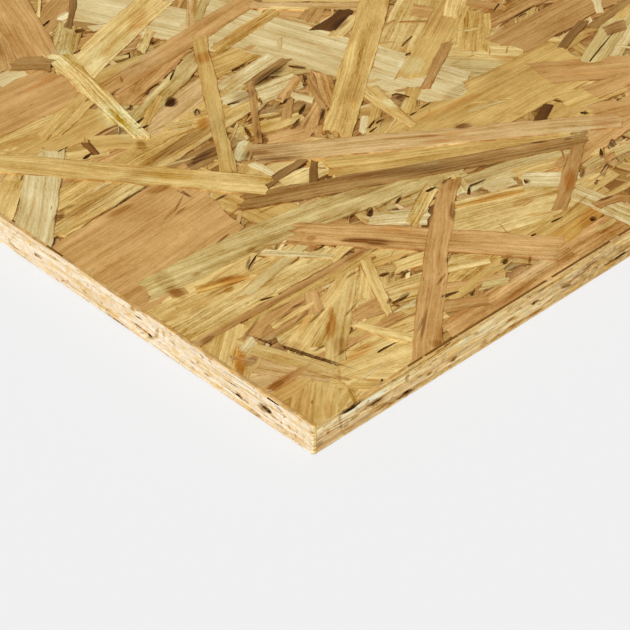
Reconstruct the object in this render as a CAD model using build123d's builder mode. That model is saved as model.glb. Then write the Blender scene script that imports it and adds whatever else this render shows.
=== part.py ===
# One oriented strand board, lying flat: softwood strands pressed and glued into a single rigid sheet.
# The sheet is sawn square on all four sides. Its face strands run along the length, which is X.
# Where the ends and flanks of neighbouring strands do not meet, the saw opens a short flat void,
# so each sawn edge is dotted with shallow lens-shaped pockets that lie along the strand layers.
# The origin is at the middle of the underside, with Z up through the thickness.
import os

from build123d import *

# The sheet
sheet_length = 2440.0
sheet_width = 1220.0
sheet_thickness = 11.0
corner_radius = 1.2  # the four upright corners, blunted by handling
arris_break = 0.3  # the long thin bevel that a saw and sandpaper leave along every arris

# The voids that the saw opens between strands
void_pitch = 97.0  # mean distance from one void to the next along an edge
void_end_margin = 70.0  # no void of the pattern lies nearer to a corner than this
void_depth = 4.0  # how far a void runs in from the sawn face
void_offsets = (-21.0, 13.0, 4.0, -9.0, 24.0, -2.0, 17.0)  # strays from the even pitch
void_lengths = (6.5, 9.0, 4.5, 7.5, 11.0)
void_openings = (1.1, 0.7, 1.3, 0.9)
void_heights = (0.78, 0.31, 0.55, 0.17, 0.66, 0.42)  # shares of the thickness, from below
void_tilts = (1.5, -2.5, 0.5, 3.0, -1.0)  # degrees out of the layers, as strands droop

# The voids near the front left corner: distance from the corner, share of the thickness,
# length and opening.
front_corner_voids = (
    (14.8, 0.80, 7.6, 1.3),
    (25.2, 0.50, 6.5, 0.7),
    (38.1, 0.18, 5.4, 1.1),
    (58.4, 0.26, 1.8, 0.8),
    (93.9, 0.50, 2.0, 0.8),
    (135.1, 0.27, 8.8, 1.0),
)
left_corner_voids = (
    (19.6, 0.50, 4.6, 1.6),
    (31.9, 0.33, 2.6, 0.8),
    (71.7, 0.33, 2.4, 1.0),
    (77.3, 0.68, 3.8, 0.5),
)
front_corner_stretch = 160.0  # the corner voids stand in for the pattern over this far
left_corner_stretch = 100.0

half_length = sheet_length / 2
half_width = sheet_width / 2


def void_places(edge_length, first_step, cleared=0.0):
    """The pattern's voids on one edge: place from its middle, height, length, opening and tilt.

    first_step shifts the pattern, so that no two edges match. cleared is the stretch beside
    the edge's start that the pattern leaves to the voids of the photographed corner.
    """
    count = int((edge_length - 2 * void_end_margin) // void_pitch) + 1
    places = []
    for i in range(count):
        step = i + first_step
        along = (i - (count - 1) / 2) * void_pitch + void_offsets[step % len(void_offsets)]
        if along + edge_length / 2 < cleared:
            continue
        places.append(
            (
                along,
                void_heights[step % len(void_heights)] * sheet_thickness,
                void_lengths[step % len(void_lengths)],
                void_openings[step % len(void_openings)],
                void_tilts[step % len(void_tilts)],
            )
        )
    return places


def corner_places(edge_length, corner_voids):
    """The listed corner voids in the same form, measured from the edge's start."""
    return [
        (distance - edge_length / 2, share * sheet_thickness, length, opening, 0.0)
        for distance, share, length, opening in corner_voids
    ]


def void_outline(length, opening):
    """A void's outline in the sawn face: pointed at both ends and fuller on one side."""
    return (
        (-length / 2, 0),
        (-length * 0.22, opening * 0.46),
        (length * 0.18, opening * 0.54),
        (length / 2, 0),
        (length * 0.24, -opening * 0.46),
        (-length * 0.16, -opening * 0.38),
    )


# Each sawn face, seen from outside, with its local X along the edge and its local Y up.
front_face = Plane(origin=(0, -half_width, 0), x_dir=(1, 0, 0), z_dir=(0, -1, 0))
back_face = Plane(origin=(0, half_width, 0), x_dir=(-1, 0, 0), z_dir=(0, 1, 0))
left_face = Plane(origin=(-half_length, 0, 0), x_dir=(0, -1, 0), z_dir=(-1, 0, 0))
right_face = Plane(origin=(half_length, 0, 0), x_dir=(0, 1, 0), z_dir=(1, 0, 0))

front_voids = corner_places(sheet_length, front_corner_voids)
front_voids += void_places(sheet_length, 0, front_corner_stretch)
back_voids = void_places(sheet_length, 3)
# On the left face the local X runs towards the front, so its places count from the far end.
left_voids = [
    (-along, height, length, opening, -tilt)
    for along, height, length, opening, tilt in corner_places(sheet_width, left_corner_voids)
    + void_places(sheet_width, 1, left_corner_stretch)
]
right_voids = void_places(sheet_width, 5)

with BuildPart() as osb_panel:
    with BuildSketch(Plane.XY):
        Rectangle(sheet_length, sheet_width)
    extrude(amount=sheet_thickness)
    fillet(osb_panel.edges().filter_by(Axis.Z), radius=corner_radius)
    faces_by_height = osb_panel.faces().sort_by(Axis.Z)
    chamfer(faces_by_height[-1].edges() + faces_by_height[0].edges(), length=arris_break)

    for sawn_face, voids in (
        (front_face, front_voids),
        (back_face, back_voids),
        (left_face, left_voids),
        (right_face, right_voids),
    ):
        with BuildSketch(sawn_face):
            for along, height, length, opening, tilt in voids:
                with Locations(Location((along, height), tilt)):
                    Polygon(*void_outline(length, opening), align=None)
        extrude(amount=-void_depth, mode=Mode.SUBTRACT)

osb_panel.part.label = "osb_panel"
os.makedirs("parts", exist_ok=True)
export_step(osb_panel.part, "parts/osb_panel.step")
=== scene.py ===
"""One sheet of oriented strand board, lying flat, dressed for the camera.

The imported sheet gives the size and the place. Wood strands are laid over both faces, the sawn edges
show the ends of the strands inside, and the whole is lit as in a plain studio. The strands next to the
photographed corner are placed one by one, and the rest are scattered from fixed seeds.
"""
import logging
import math
from dataclasses import dataclass, field, replace
from enum import Enum

import bmesh
import bpy
import numpy as np
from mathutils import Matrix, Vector


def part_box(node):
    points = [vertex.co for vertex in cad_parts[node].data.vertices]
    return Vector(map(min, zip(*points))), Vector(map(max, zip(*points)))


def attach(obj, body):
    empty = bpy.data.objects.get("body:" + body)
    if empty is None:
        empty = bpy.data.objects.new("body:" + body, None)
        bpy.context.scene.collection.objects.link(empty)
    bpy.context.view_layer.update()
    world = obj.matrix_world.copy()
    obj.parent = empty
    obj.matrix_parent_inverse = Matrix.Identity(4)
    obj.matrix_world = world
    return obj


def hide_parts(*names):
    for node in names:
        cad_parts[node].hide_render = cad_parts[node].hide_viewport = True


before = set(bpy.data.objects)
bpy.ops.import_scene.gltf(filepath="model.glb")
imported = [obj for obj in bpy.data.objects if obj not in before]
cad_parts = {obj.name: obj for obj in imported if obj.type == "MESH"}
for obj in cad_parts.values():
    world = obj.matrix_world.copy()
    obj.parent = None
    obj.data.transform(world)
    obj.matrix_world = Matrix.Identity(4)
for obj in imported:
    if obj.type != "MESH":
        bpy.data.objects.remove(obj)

MM = 0.001
SHEET = "osb_panel"
MATH = "ShaderNodeMath"
VECTOR = "ShaderNodeVectorMath"
NOISE = "ShaderNodeTexNoise"
RANGE = "ShaderNodeMapRange"  # takes a value, the range that it comes from and the range that it goes to
COMBINE = "ShaderNodeCombineXYZ"
SEPARATE = "ShaderNodeSeparateXYZ"
MIX = "ShaderNodeMix"
STORE = "GeometryNodeStoreNamedAttribute"
TINT = {"data_type": "RGBA", "blend_type": "MULTIPLY"}
HAIR = 1e-5  # metres within which two heights or places are taken to be the same
log = logging.getLogger("osb")


class Tone(Enum):
    """Colours that pressed softwood strands take, from bare sapwood to bark, and the painted shade down a
    gap.
    """

    CREAM = "#D9C590"
    PALE = "#D3BC85"
    WHEAT = "#DCBC76"
    STRAW = "#D2B06A"
    ASH = "#C4A96B"
    BUFF = "#CEAE6B"
    HONEY = "#C6A15A"
    GOLD = "#C4984B"
    AMBER = "#B0752A"
    ROSE = "#C9A56B"
    TAN = "#C09356"
    RUSSET = "#B4894E"
    BROWN = "#9F7840"
    SMOKE = "#855F2E"
    BARK = "#7A4E1C"
    # painted shade: the dark down a gap or crack, given as a colour
    VOID = "#5A370C"
    OCHRE = "#A0702C"
    UMBER = "#84561C"
    RUST = "#A05A28"
    SAWN_PALE = "#E2D6C0"
    SAWN_CREAM = "#DDCDB2"
    SAWN_STRAW = "#CEB48A"
    SAWN_FAIR = "#E4D2A4"
    SAWN_GOLD = "#D4B676"
    SAWN_TAN = "#C29E68"
    SAWN_BROWN = "#A67A3E"


# wood of middling colour, which a stain turns to its own tone
USUAL_WOOD = "#CCA868"


class View(Enum):
    """The sides that stains are placed on: the axes ahead and aside, and the one that looks out."""

    FACE = (0, 1, 2)
    SHORT_SIDE = (1, 2, 0)
    LONG_SIDE = (0, 2, 1)


class Facing(Enum):
    """The two pressed faces of the sheet, each with the way it looks."""

    TOP = 1.0
    UNDERSIDE = -1.0


@dataclass(frozen=True)
class Strand:
    """One listed strand, in millimetres from the photographed corner.

    The two ends are given along the long edge and along the short edge. Level 0 lies on top. The taper is
    the width at the far end as a share of the width at the near end, and the bow is the middle's shift to
    the left of the way from near to far.
    """

    near: tuple[float, float]
    far: tuple[float, float]
    width: float
    tone: Tone
    level: int
    taper: float = 1.0
    bow: float = 0.0


@dataclass(frozen=True)
class Gap:
    """A listed crack or opening, drawn out between two points in millimetres from the corner."""

    near: tuple[float, float]
    far: tuple[float, float]
    width: float


@dataclass(frozen=True)
class Smudge:
    """A listed soft stain: its middle and size in millimetres, its turn in degrees, its strength."""

    ahead: float
    aside: float
    length: float
    width: float
    turn: float
    strength: float


Stains = dict[Tone, tuple[tuple[float, ...], ...]]


# Each row runs from the deepest strands of its neighbourhood to the ones on top
CORNER_STRANDS = (
    # the wide flakes that lie low
    Strand((-8, 98.5), (57, 107), 42, Tone.TAN, 3, 0.92),
    Strand((118, 84), (209, 83), 29, Tone.HONEY, 4, 0.95),
    Strand((8, 195), (70, 195), 26, Tone.TAN, 3),
    Strand((100, 246), (127, 184), 23, Tone.PALE, 4),
    Strand((130, 200), (163, 95), 27, Tone.PALE, 4, 0.94),
    Strand((196, 105), (247, 106), 16, Tone.RUSSET, 3),
    Strand((194, 122), (236, 121), 9, Tone.RUSSET, 4),
    Strand((98, 43), (146, 27), 23, Tone.BUFF, 4, 0.8),
    Strand((8, 83), (128, 61), 13, Tone.ASH, 3, 0.9, 5.0),
    Strand((97, 92), (167, 49), 11, Tone.HONEY, 3, 0.8),
    Strand((12, 136), (112, 147), 15, Tone.HONEY, 5, 0.9),
    Strand((-6, 148), (27, 176), 17, Tone.STRAW, 5),
    Strand((14, 168), (66, 169), 15, Tone.HONEY, 5),
    Strand((18, 20), (47, -5), 20, Tone.WHEAT, 4, 0.9),
    Strand((-4, -2), (22, 20), 16, Tone.STRAW, 4, 0.8),
    Strand((60, 4), (118, 5), 11, Tone.TAN, 3, 0.9),
    Strand((108, 6), (150, 6), 13, Tone.TAN, 4, 0.9),
    Strand((160, 127), (202, 153), 15, Tone.BUFF, 5),
    Strand((176, 126), (206, 90), 21, Tone.BUFF, 5),
    Strand((163, 120), (186, 93), 14, Tone.ASH, 5),
    Strand((190, 84), (226, 59), 15, Tone.TAN, 3, 0.9),
    Strand((104, 166), (129, 166), 12, Tone.HONEY, 5),
    Strand((74, 172), (112, 184), 10, Tone.TAN, 4, 0.8),
    Strand((66, 151), (106, 160), 11, Tone.ROSE, 5),
    Strand((52, 146), (98, 152), 9, Tone.TAN, 6),
    Strand((70, 64), (58, 122), 16, Tone.HONEY, 6),
    Strand((150, 182), (164, 160), 14, Tone.TAN, 5),
    # straw fan left of the corner
    Strand((-3, 73), (46, 74), 8, Tone.STRAW, 4),
    Strand((-3, 66), (58, 66), 8, Tone.STRAW, 5),
    Strand((-3, 58), (63, 58), 9, Tone.BUFF, 4),
    Strand((28, 60), (62, 67), 4, Tone.ASH, 3),
    Strand((-2, 70), (38, 67), 4, Tone.STRAW, 3),
    Strand((20, 72), (36, 66), 3.5, Tone.GOLD, 2, 0.8),
    Strand((-2, 77), (19, 75), 7, Tone.TAN, 4),
    Strand((12, 76), (17, 74), 4, Tone.RUSSET, 3),
    Strand((-4, 53), (36, 53), 4, Tone.STRAW, 3),
    Strand((0, 52.0), (71, 51.0), 2.8, Tone.RUSSET, 2, 1.1),
    Strand((18, 48.2), (72, 48.4), 4, Tone.HONEY, 3),
    # the corner itself
    Strand((-6, 2), (24, 12), 21, Tone.STRAW, 5, 0.9),
    Strand((21, 13), (40, -8), 14, Tone.WHEAT, 5, 1.2),
    Strand((22, 13), (52, 5), 13, Tone.WHEAT, 4, 1.1),
    Strand((-5, 29), (17, 18), 12, Tone.ROSE, 5),
    Strand((-4, 16.5), (23, 18), 5, Tone.STRAW, 4),
    Strand((4, 40), (20, 14), 9, Tone.ROSE, 4),
    Strand((10.5, 43), (22.5, 14), 6.5, Tone.BUFF, 3, 0.8),
    Strand((3, 21.2), (17, 21.6), 3.4, Tone.TAN, 2, 0.6),
    Strand((-5, 30), (18, 50), 10, Tone.STRAW, 4),
    Strand((-4, 42), (12, 53), 6, Tone.HONEY, 4),
    Strand((9, 39.5), (15.5, 41.5), 3.5, Tone.PALE, 2),
    Strand((14, 42), (44, 44), 8, Tone.RUSSET, 4),
    Strand((14, 42.5), (48, 46.2), 4.5, Tone.TAN, 3, 0.7, 2.4),
    Strand((24, 42.6), (41, 42.4), 3.0, Tone.STRAW, 2, 0.6),
    Strand((20, 37), (42, 39), 6, Tone.BUFF, 5),
    Strand((20, 30), (60, 46), 7, Tone.STRAW, 3, 0.8),
    Strand((22, 25), (52, 40), 8, Tone.BUFF, 5),
    Strand((44, 24), (66, 44), 13, Tone.STRAW, 5),
    Strand((25, 17), (56, 44), 6, Tone.BUFF, 3, 1.2),
    Strand((21, 21.6), (56, 20.6), 3.6, Tone.TAN, 4),
    Strand((24, 16), (50, 16), 7, Tone.STRAW, 5),
    Strand((44, 29), (60, 29), 5, Tone.TAN, 4),
    Strand((38, 22), (56, 25), 4, Tone.HONEY, 4),
    Strand((42.5, 26), (49, 9), 3.0, Tone.WHEAT, 1, 1.6),
    Strand((67.5, 47), (53.5, 22.5), 4.4, Tone.WHEAT, 1, 0.7),
    Strand((44, 47), (38, 38), 5, Tone.TAN, 2),
    Strand((64, 48), (84, 43), 8, Tone.STRAW, 5),
    Strand((57, 31), (76, 25), 11, Tone.BUFF, 5),
    Strand((48, 19), (66, 14), 10, Tone.STRAW, 5),
    # right of the corner, along the long edge
    Strand((68, 19), (104, 24), 8, Tone.HONEY, 5),
    Strand((78, 31), (98, 22), 8, Tone.BUFF, 4),
    Strand((72, 15), (100, 18), 5, Tone.HONEY, 4),
    Strand((84, 13), (92, 9), 4, Tone.ASH, 3),
    Strand((68, 14), (78, 9), 4, Tone.RUSSET, 3),
    Strand((76, 20), (92, 12), 4, Tone.TAN, 4),
    Strand((66, 15), (80, 7), 5, Tone.RUSSET, 2),
    Strand((112, 14), (143, 17), 9, Tone.GOLD, 4),
    Strand((116, 19), (143, 20), 5, Tone.HONEY, 3),
    Strand((143.5, 28), (147, -2), 8, Tone.PALE, 2, 1.2),
    Strand((142, 17), (152, 14.5), 4.5, Tone.RUSSET, 1),
    Strand((132, 23.5), (168, 46), 5, Tone.RUSSET, 1, 0.9),
    Strand((136, 43), (150, 31), 10, Tone.PALE, 3, 0.8),
    Strand((116, 56), (162, 45), 9, Tone.ASH, 4),
    Strand((138, 48), (170, 39), 8, Tone.STRAW, 4),
    Strand((150, 41), (192, 44), 10, Tone.TAN, 4),
    Strand((107, 49), (133, 39), 2.6, Tone.GOLD, 3, 0.6),
    Strand((84, 62), (99, 51), 8, Tone.PALE, 3),
    Strand((92, 51), (112, 61), 4.5, Tone.STRAW, 2),
    Strand((103, 60), (113, 60), 4, Tone.PALE, 3),
    Strand((124, 48), (134, 45), 5, Tone.PALE, 3),
    Strand((118, 52), (122, 61), 5, Tone.BUFF, 3),
    # between the two dark strands and the golden one
    Strand((92, 100), (103, 84), 9, Tone.GOLD, 5),
    Strand((94, 84), (109, 95), 7, Tone.BUFF, 4),
    Strand((104, 84), (130, 84), 10, Tone.HONEY, 5),
    Strand((92, 117), (105, 113), 10, Tone.TAN, 4),
    Strand((110, 142), (127, 140), 11, Tone.PALE, 4),
    Strand((104, 130), (120, 124), 10, Tone.BROWN, 5),
    Strand((102, 112), (124, 124), 5, Tone.TAN, 4),
    Strand((108, 111), (134, 138), 6, Tone.TAN, 5),
    Strand((119, 119), (132, 140), 3.4, Tone.RUSSET, 3),
    Strand((122, 117), (135, 137), 6, Tone.TAN, 4),
    Strand((106, 124), (119, 136), 3.4, Tone.RUSSET, 3),
    Strand((114, 134), (128, 141), 4, Tone.TAN, 3),
    Strand((118, 134), (121, 126), 4, Tone.PALE, 3),
    Strand((98, 146), (108, 145), 8, Tone.PALE, 4),
    Strand((73, 147), (80, 144), 5, Tone.BUFF, 4),
    Strand((79, 148), (93, 145), 6, Tone.HONEY, 5),
    Strand((78, 116), (87, 122), 6, Tone.ASH, 4),
    Strand((79, 112), (80, 103), 3.5, Tone.PALE, 3),
    Strand((70, 108), (84, 112), 6, Tone.HONEY, 5),
    Strand((74, 106), (96, 103), 6, Tone.BUFF, 5),
    Strand((78, 96), (96, 94), 8, Tone.BUFF, 5),
    Strand((90, 128), (112, 122), 7, Tone.STRAW, 5),
    Strand((74.5, 99.2), (94, 101.8), 3.0, Tone.SMOKE, 1),
    Strand((86, 90), (95, 98.5), 2.4, Tone.SMOKE, 2),
    Strand((120, 98), (128, 105), 7, Tone.PALE, 4),
    Strand((117, 95), (134, 108), 4, Tone.HONEY, 3),
    Strand((139.5, 119), (134, 91), 8.5, Tone.STRAW, 2, 0.4),
    Strand((138, 98), (152, 108), 5, Tone.HONEY, 4),
    Strand((104, 152.5), (131, 156.5), 8, Tone.PALE, 4),
    Strand((112, 149), (133.5, 152.6), 4.2, Tone.BROWN, 2, 0.8),
    Strand((89, 119), (113, 149.5), 2.8, Tone.RUSSET, 1),
    Strand((56, 126), (86, 127), 8, Tone.BROWN, 5),
    Strand((66, 126.5), (79, 125.5), 4, Tone.SMOKE, 4),
    # upper left
    Strand((22, 177.5), (44, 175.5), 4, Tone.HONEY, 4),
    Strand((16, 180), (56, 178), 9, Tone.STRAW, 5),
    Strand((39, 172.5), (67, 183.5), 4.6, Tone.HONEY, 2),
    Strand((44, 170.5), (65, 178.5), 4, Tone.STRAW, 3),
    Strand((48, 211), (68, 211), 7, Tone.PALE, 3),
    Strand((62, 216), (72, 207), 9, Tone.BROWN, 0),
    Strand((57, 213), (79, 252), 10, Tone.RUSSET, 3),
    Strand((82, 228), (110, 244), 10, Tone.RUSSET, 4),
    Strand((68, 207), (91, 264), 15, Tone.TAN, 1),
    Strand((88, 236), (98, 248), 1.6, Tone.STRAW, 2),
    Strand((84, 228), (100, 230), 8, Tone.ASH, 5),
    Strand((88, 231), (98, 231), 5, Tone.CREAM, 4),
    Strand((91, 222.5), (105, 237), 2.6, Tone.SMOKE, 1),
    Strand((90, 224), (105, 214), 9, Tone.BROWN, 5),
    Strand((97, 217), (104, 213), 4, Tone.PALE, 4),
    Strand((82, 212), (100, 209), 8, Tone.TAN, 5),
    Strand((73, 204), (93, 224), 9, Tone.ASH, 2),
    Strand((28, 160), (50, 152), 7, Tone.BUFF, 5),
    Strand((49, 158), (63, 147), 9, Tone.HONEY, 4),
    Strand((38, 158), (46, 154), 5, Tone.STRAW, 4),
    Strand((45.5, 152), (47.5, 160), 2.4, Tone.BARK, 3),
    Strand((20, 150), (62, 150), 9, Tone.TAN, 6),
    # the middle of the upper side
    Strand((66, 157), (111, 175), 7.5, Tone.ASH, 3),
    Strand((64, 152), (87, 166), 4.5, Tone.HONEY, 3),
    Strand((72, 190), (112, 184), 8, Tone.HONEY, 4),
    Strand((72, 180), (152, 192.5), 10, Tone.TAN, 2, 0.9),
    Strand((118, 174), (154, 180.5), 5.6, Tone.HONEY, 2),
    Strand((72, 196), (128, 217), 15, Tone.WHEAT, 2, 0.9),
    Strand((122, 191), (138, 208), 4, Tone.ROSE, 3),
    Strand((128, 194), (142, 205), 3, Tone.ASH, 2),
    Strand((100, 193), (112, 201), 4, Tone.BUFF, 3),
    # upper right
    # a dark strand painted as the shade down an opening
    Strand((157, 157), (173, 162), 10, Tone.VOID, 3, 0.5),
    Strand((157, 167), (168, 172), 7, Tone.RUSSET, 3),
    Strand((150, 189), (180, 159), 4.5, Tone.ROSE, 2),
    Strand((156, 190), (184, 163), 5, Tone.BUFF, 3),
    Strand((153, 183), (163, 173), 2, Tone.STRAW, 1),
    Strand((157, 152), (172, 157), 5, Tone.BUFF, 3),
    Strand((157, 113), (210, 141), 12, Tone.HONEY, 3),
    Strand((186, 112), (206, 130), 12, Tone.HONEY, 4),
    Strand((154.5, 104.5), (182, 120.5), 3.2, Tone.RUSSET, 1, 1.3),
    Strand((190, 146), (197, 134), 8, Tone.TAN, 4),
    Strand((196, 132), (214, 144), 7, Tone.STRAW, 2),
    Strand((208, 136), (216, 124), 5, Tone.RUSSET, 3),
    # far right
    Strand((208, 76), (246, 92), 9, Tone.ASH, 4),
    Strand((206, 70), (240, 86), 9, Tone.PALE, 5),
    Strand((209, 90), (229, 97), 3.4, Tone.SMOKE, 2),
    Strand((228, 92), (254, 96), 4, Tone.BROWN, 3),
    Strand((238, 97), (247, 107), 3, Tone.PALE, 2),
    Strand((229, 87), (238, 85), 6, Tone.BROWN, 3),
    Strand((240, 90), (256, 94), 5, Tone.HONEY, 4),
    Strand((182, 65), (204, 60), 11, Tone.HONEY, 4),
    Strand((170, 62), (182, 65), 9, Tone.HONEY, 4),
    Strand((194, 63), (213, 60), 8, Tone.TAN, 3),
    Strand((178, 55), (204, 45), 13, Tone.TAN, 4),
    Strand((172, 57), (184, 55), 6, Tone.HONEY, 3),
    # a dark strand painted as the shade down a gap
    Strand((165, 62.5), (177, 68), 3.6, Tone.VOID, 1),
    # the ones that cross over everything
    Strand((0, 125.5), (106, 138), 3.8, Tone.BUFF, 2, 1.1),
    Strand((120, 184), (69, 112), 5.4, Tone.HONEY, 1, 1.0),
    Strand((112, 105), (187, 161.5), 11, Tone.HONEY, 1),
    Strand((61, 74), (116, 9), 12.5, Tone.TAN, 2, 1.0, 1.0),
    Strand((82, 115.5), (187, 44.5), 11, Tone.ROSE, 0, 0.8),
    Strand((60.5, 97.5), (169, 45), 9, Tone.BROWN, 1, 0.75),
    Strand((42, -4), (120, 60), 9.5, Tone.TAN, 0, 0.65, 1.5),
    Strand((-8, 120), (34, 163.2), 14, Tone.PALE, 1, 0.8),
    Strand((17, 172), (74, 98), 10.5, Tone.STRAW, 0, 1.05),
    Strand((76, 211), (63, 149), 9.5, Tone.WHEAT, 0, 0.6),
    Strand((47, 72.5), (62, 55), 3.8, Tone.PALE, 1, 0.7),
    Strand((8, 124), (56, 129.5), 4, Tone.STRAW, 3),
    Strand((106, 24), (128, 20), 7, Tone.STRAW, 4),
    Strand((-6, 140), (16, 158), 8, Tone.STRAW, 4),
    Strand((60, 55), (70, 57), 5, Tone.STRAW, 3),
    Strand((72, 38), (84, 35), 6, Tone.STRAW, 4),
)

# Cracks between strands and small openings down to the inside
CORNER_GAPS = (
    Gap((16.4, 41), (25.2, 14.8), 1.1),
    Gap((38.5, 69), (45.5, 73), 1.2),
    Gap((30, 54.6), (34.5, 53.2), 1.0),
    Gap((60, 62), (64.2, 61.8), 2.0),
    Gap((65.3, 38.2), (68.7, 37.6), 1.8),
    Gap((70.8, 34.9), (74, 33.8), 1.6),
    Gap((58, 25.6), (65, 25.4), 1.6),
    Gap((37.5, 11.9), (45.4, 11.6), 1.2),
    Gap((28, 0), (30, 2.4), 1.3),
    Gap((70, 17.8), (77, 16), 1.7),
    Gap((79.5, 12), (81.8, 13.8), 0.9),
    Gap((83.5, 28), (88.2, 31.8), 1.4),
    Gap((97.5, 15.8), (101, 17.6), 1.5),
    Gap((85.4, 63.2), (90, 66.2), 2.0),
    Gap((97.5, 63), (100.8, 64.2), 1.1),
    Gap((108.5, 60.3), (113.5, 60), 1.5),
    Gap((116.5, 59.8), (120.8, 60.5), 1.5),
    Gap((118, 50.2), (121.2, 52.8), 1.2),
    Gap((121, 52.8), (128, 52), 1.2),
    Gap((136, 40.8), (137, 43.2), 1.7),
    Gap((135.4, 12), (137, 14), 2.2),
    Gap((114.6, 20), (117, 20), 1.2),
    Gap((125, 20.8), (130.2, 20.2), 0.9),
    Gap((143.2, 110), (146.6, 104.6), 3.2),
    Gap((82.5, 157.5), (87.5, 161), 3.4),
    Gap((85.8, 146.6), (88.8, 150.2), 2.2),
    Gap((97.8, 144.6), (102, 142.6), 1.3),
    Gap((128.2, 137.4), (130.8, 141.6), 1.4),
    Gap((112, 131.4), (115.4, 133.2), 1.3),
    Gap((103, 118), (109.6, 121), 1.3),
    Gap((111.5, 113), (119.2, 118.8), 1.6),
    Gap((73.8, 121.2), (76.8, 124.2), 1.3),
    Gap((120.5, 98.2), (124.8, 99), 1.0),
    Gap((126, 100.6), (130.8, 101.4), 1.1),
    Gap((66, 156.5), (72, 158), 1.6),
    Gap((67, 153), (70, 153.5), 1.4),
    Gap((41, 152.5), (45, 153.5), 1.4),
    Gap((36, 161.5), (42, 162), 1.4),
    Gap((94, 170), (102, 176), 0.9),
    Gap((114, 160.2), (122, 160.8), 1.0),
    Gap((72, 165), (74, 167.5), 1.6),
    Gap((91, 218.5), (95, 217.5), 3.2),
    Gap((81, 206.5), (85, 208), 1.8),
    Gap((65, 213.5), (68, 212), 1.6),
    Gap((78, 216), (83, 221.5), 1.0),
    Gap((83, 229), (90, 232), 1.2),
    Gap((165.5, 124.5), (168, 125.5), 2.0),
    Gap((169, 130.5), (177, 133), 1.0),
    Gap((205, 116.2), (225, 117.3), 1.1),
    Gap((215, 115), (219, 116), 2.2),
    Gap((211, 124.5), (218, 127.5), 1.0),
    Gap((209, 77), (232, 85), 0.9),
    Gap((196, 53), (199, 54), 1.8),
    Gap((181, 57), (183, 55), 1.6),
    Gap((157.5, 27.5), (164.5, 30.8), 1.6),
    Gap((151.5, 31.5), (156, 34), 1.2),
    Gap((165.5, 34.5), (169.5, 38), 1.3),
    Gap((172.5, 36), (176.5, 39), 2.0),
    Gap((152, 25.5), (155, 27), 1.3),
    Gap((111.5, 123), (117.5, 126.2), 1.5),
    Gap((131, 149), (134, 143.5), 1.5),
    Gap((90, 124), (92.5, 130), 1.5),
    Gap((122, 100), (127, 102.5), 1.0),
    Gap((138, 96.3), (142, 96.6), 0.9),
    Gap((144.5, 97), (149.5, 97.4), 0.9),
    Gap((84, 170), (90, 172), 1.2),
    Gap((53.5, 10.2), (58.5, 13.5), 0.9),
)
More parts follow.
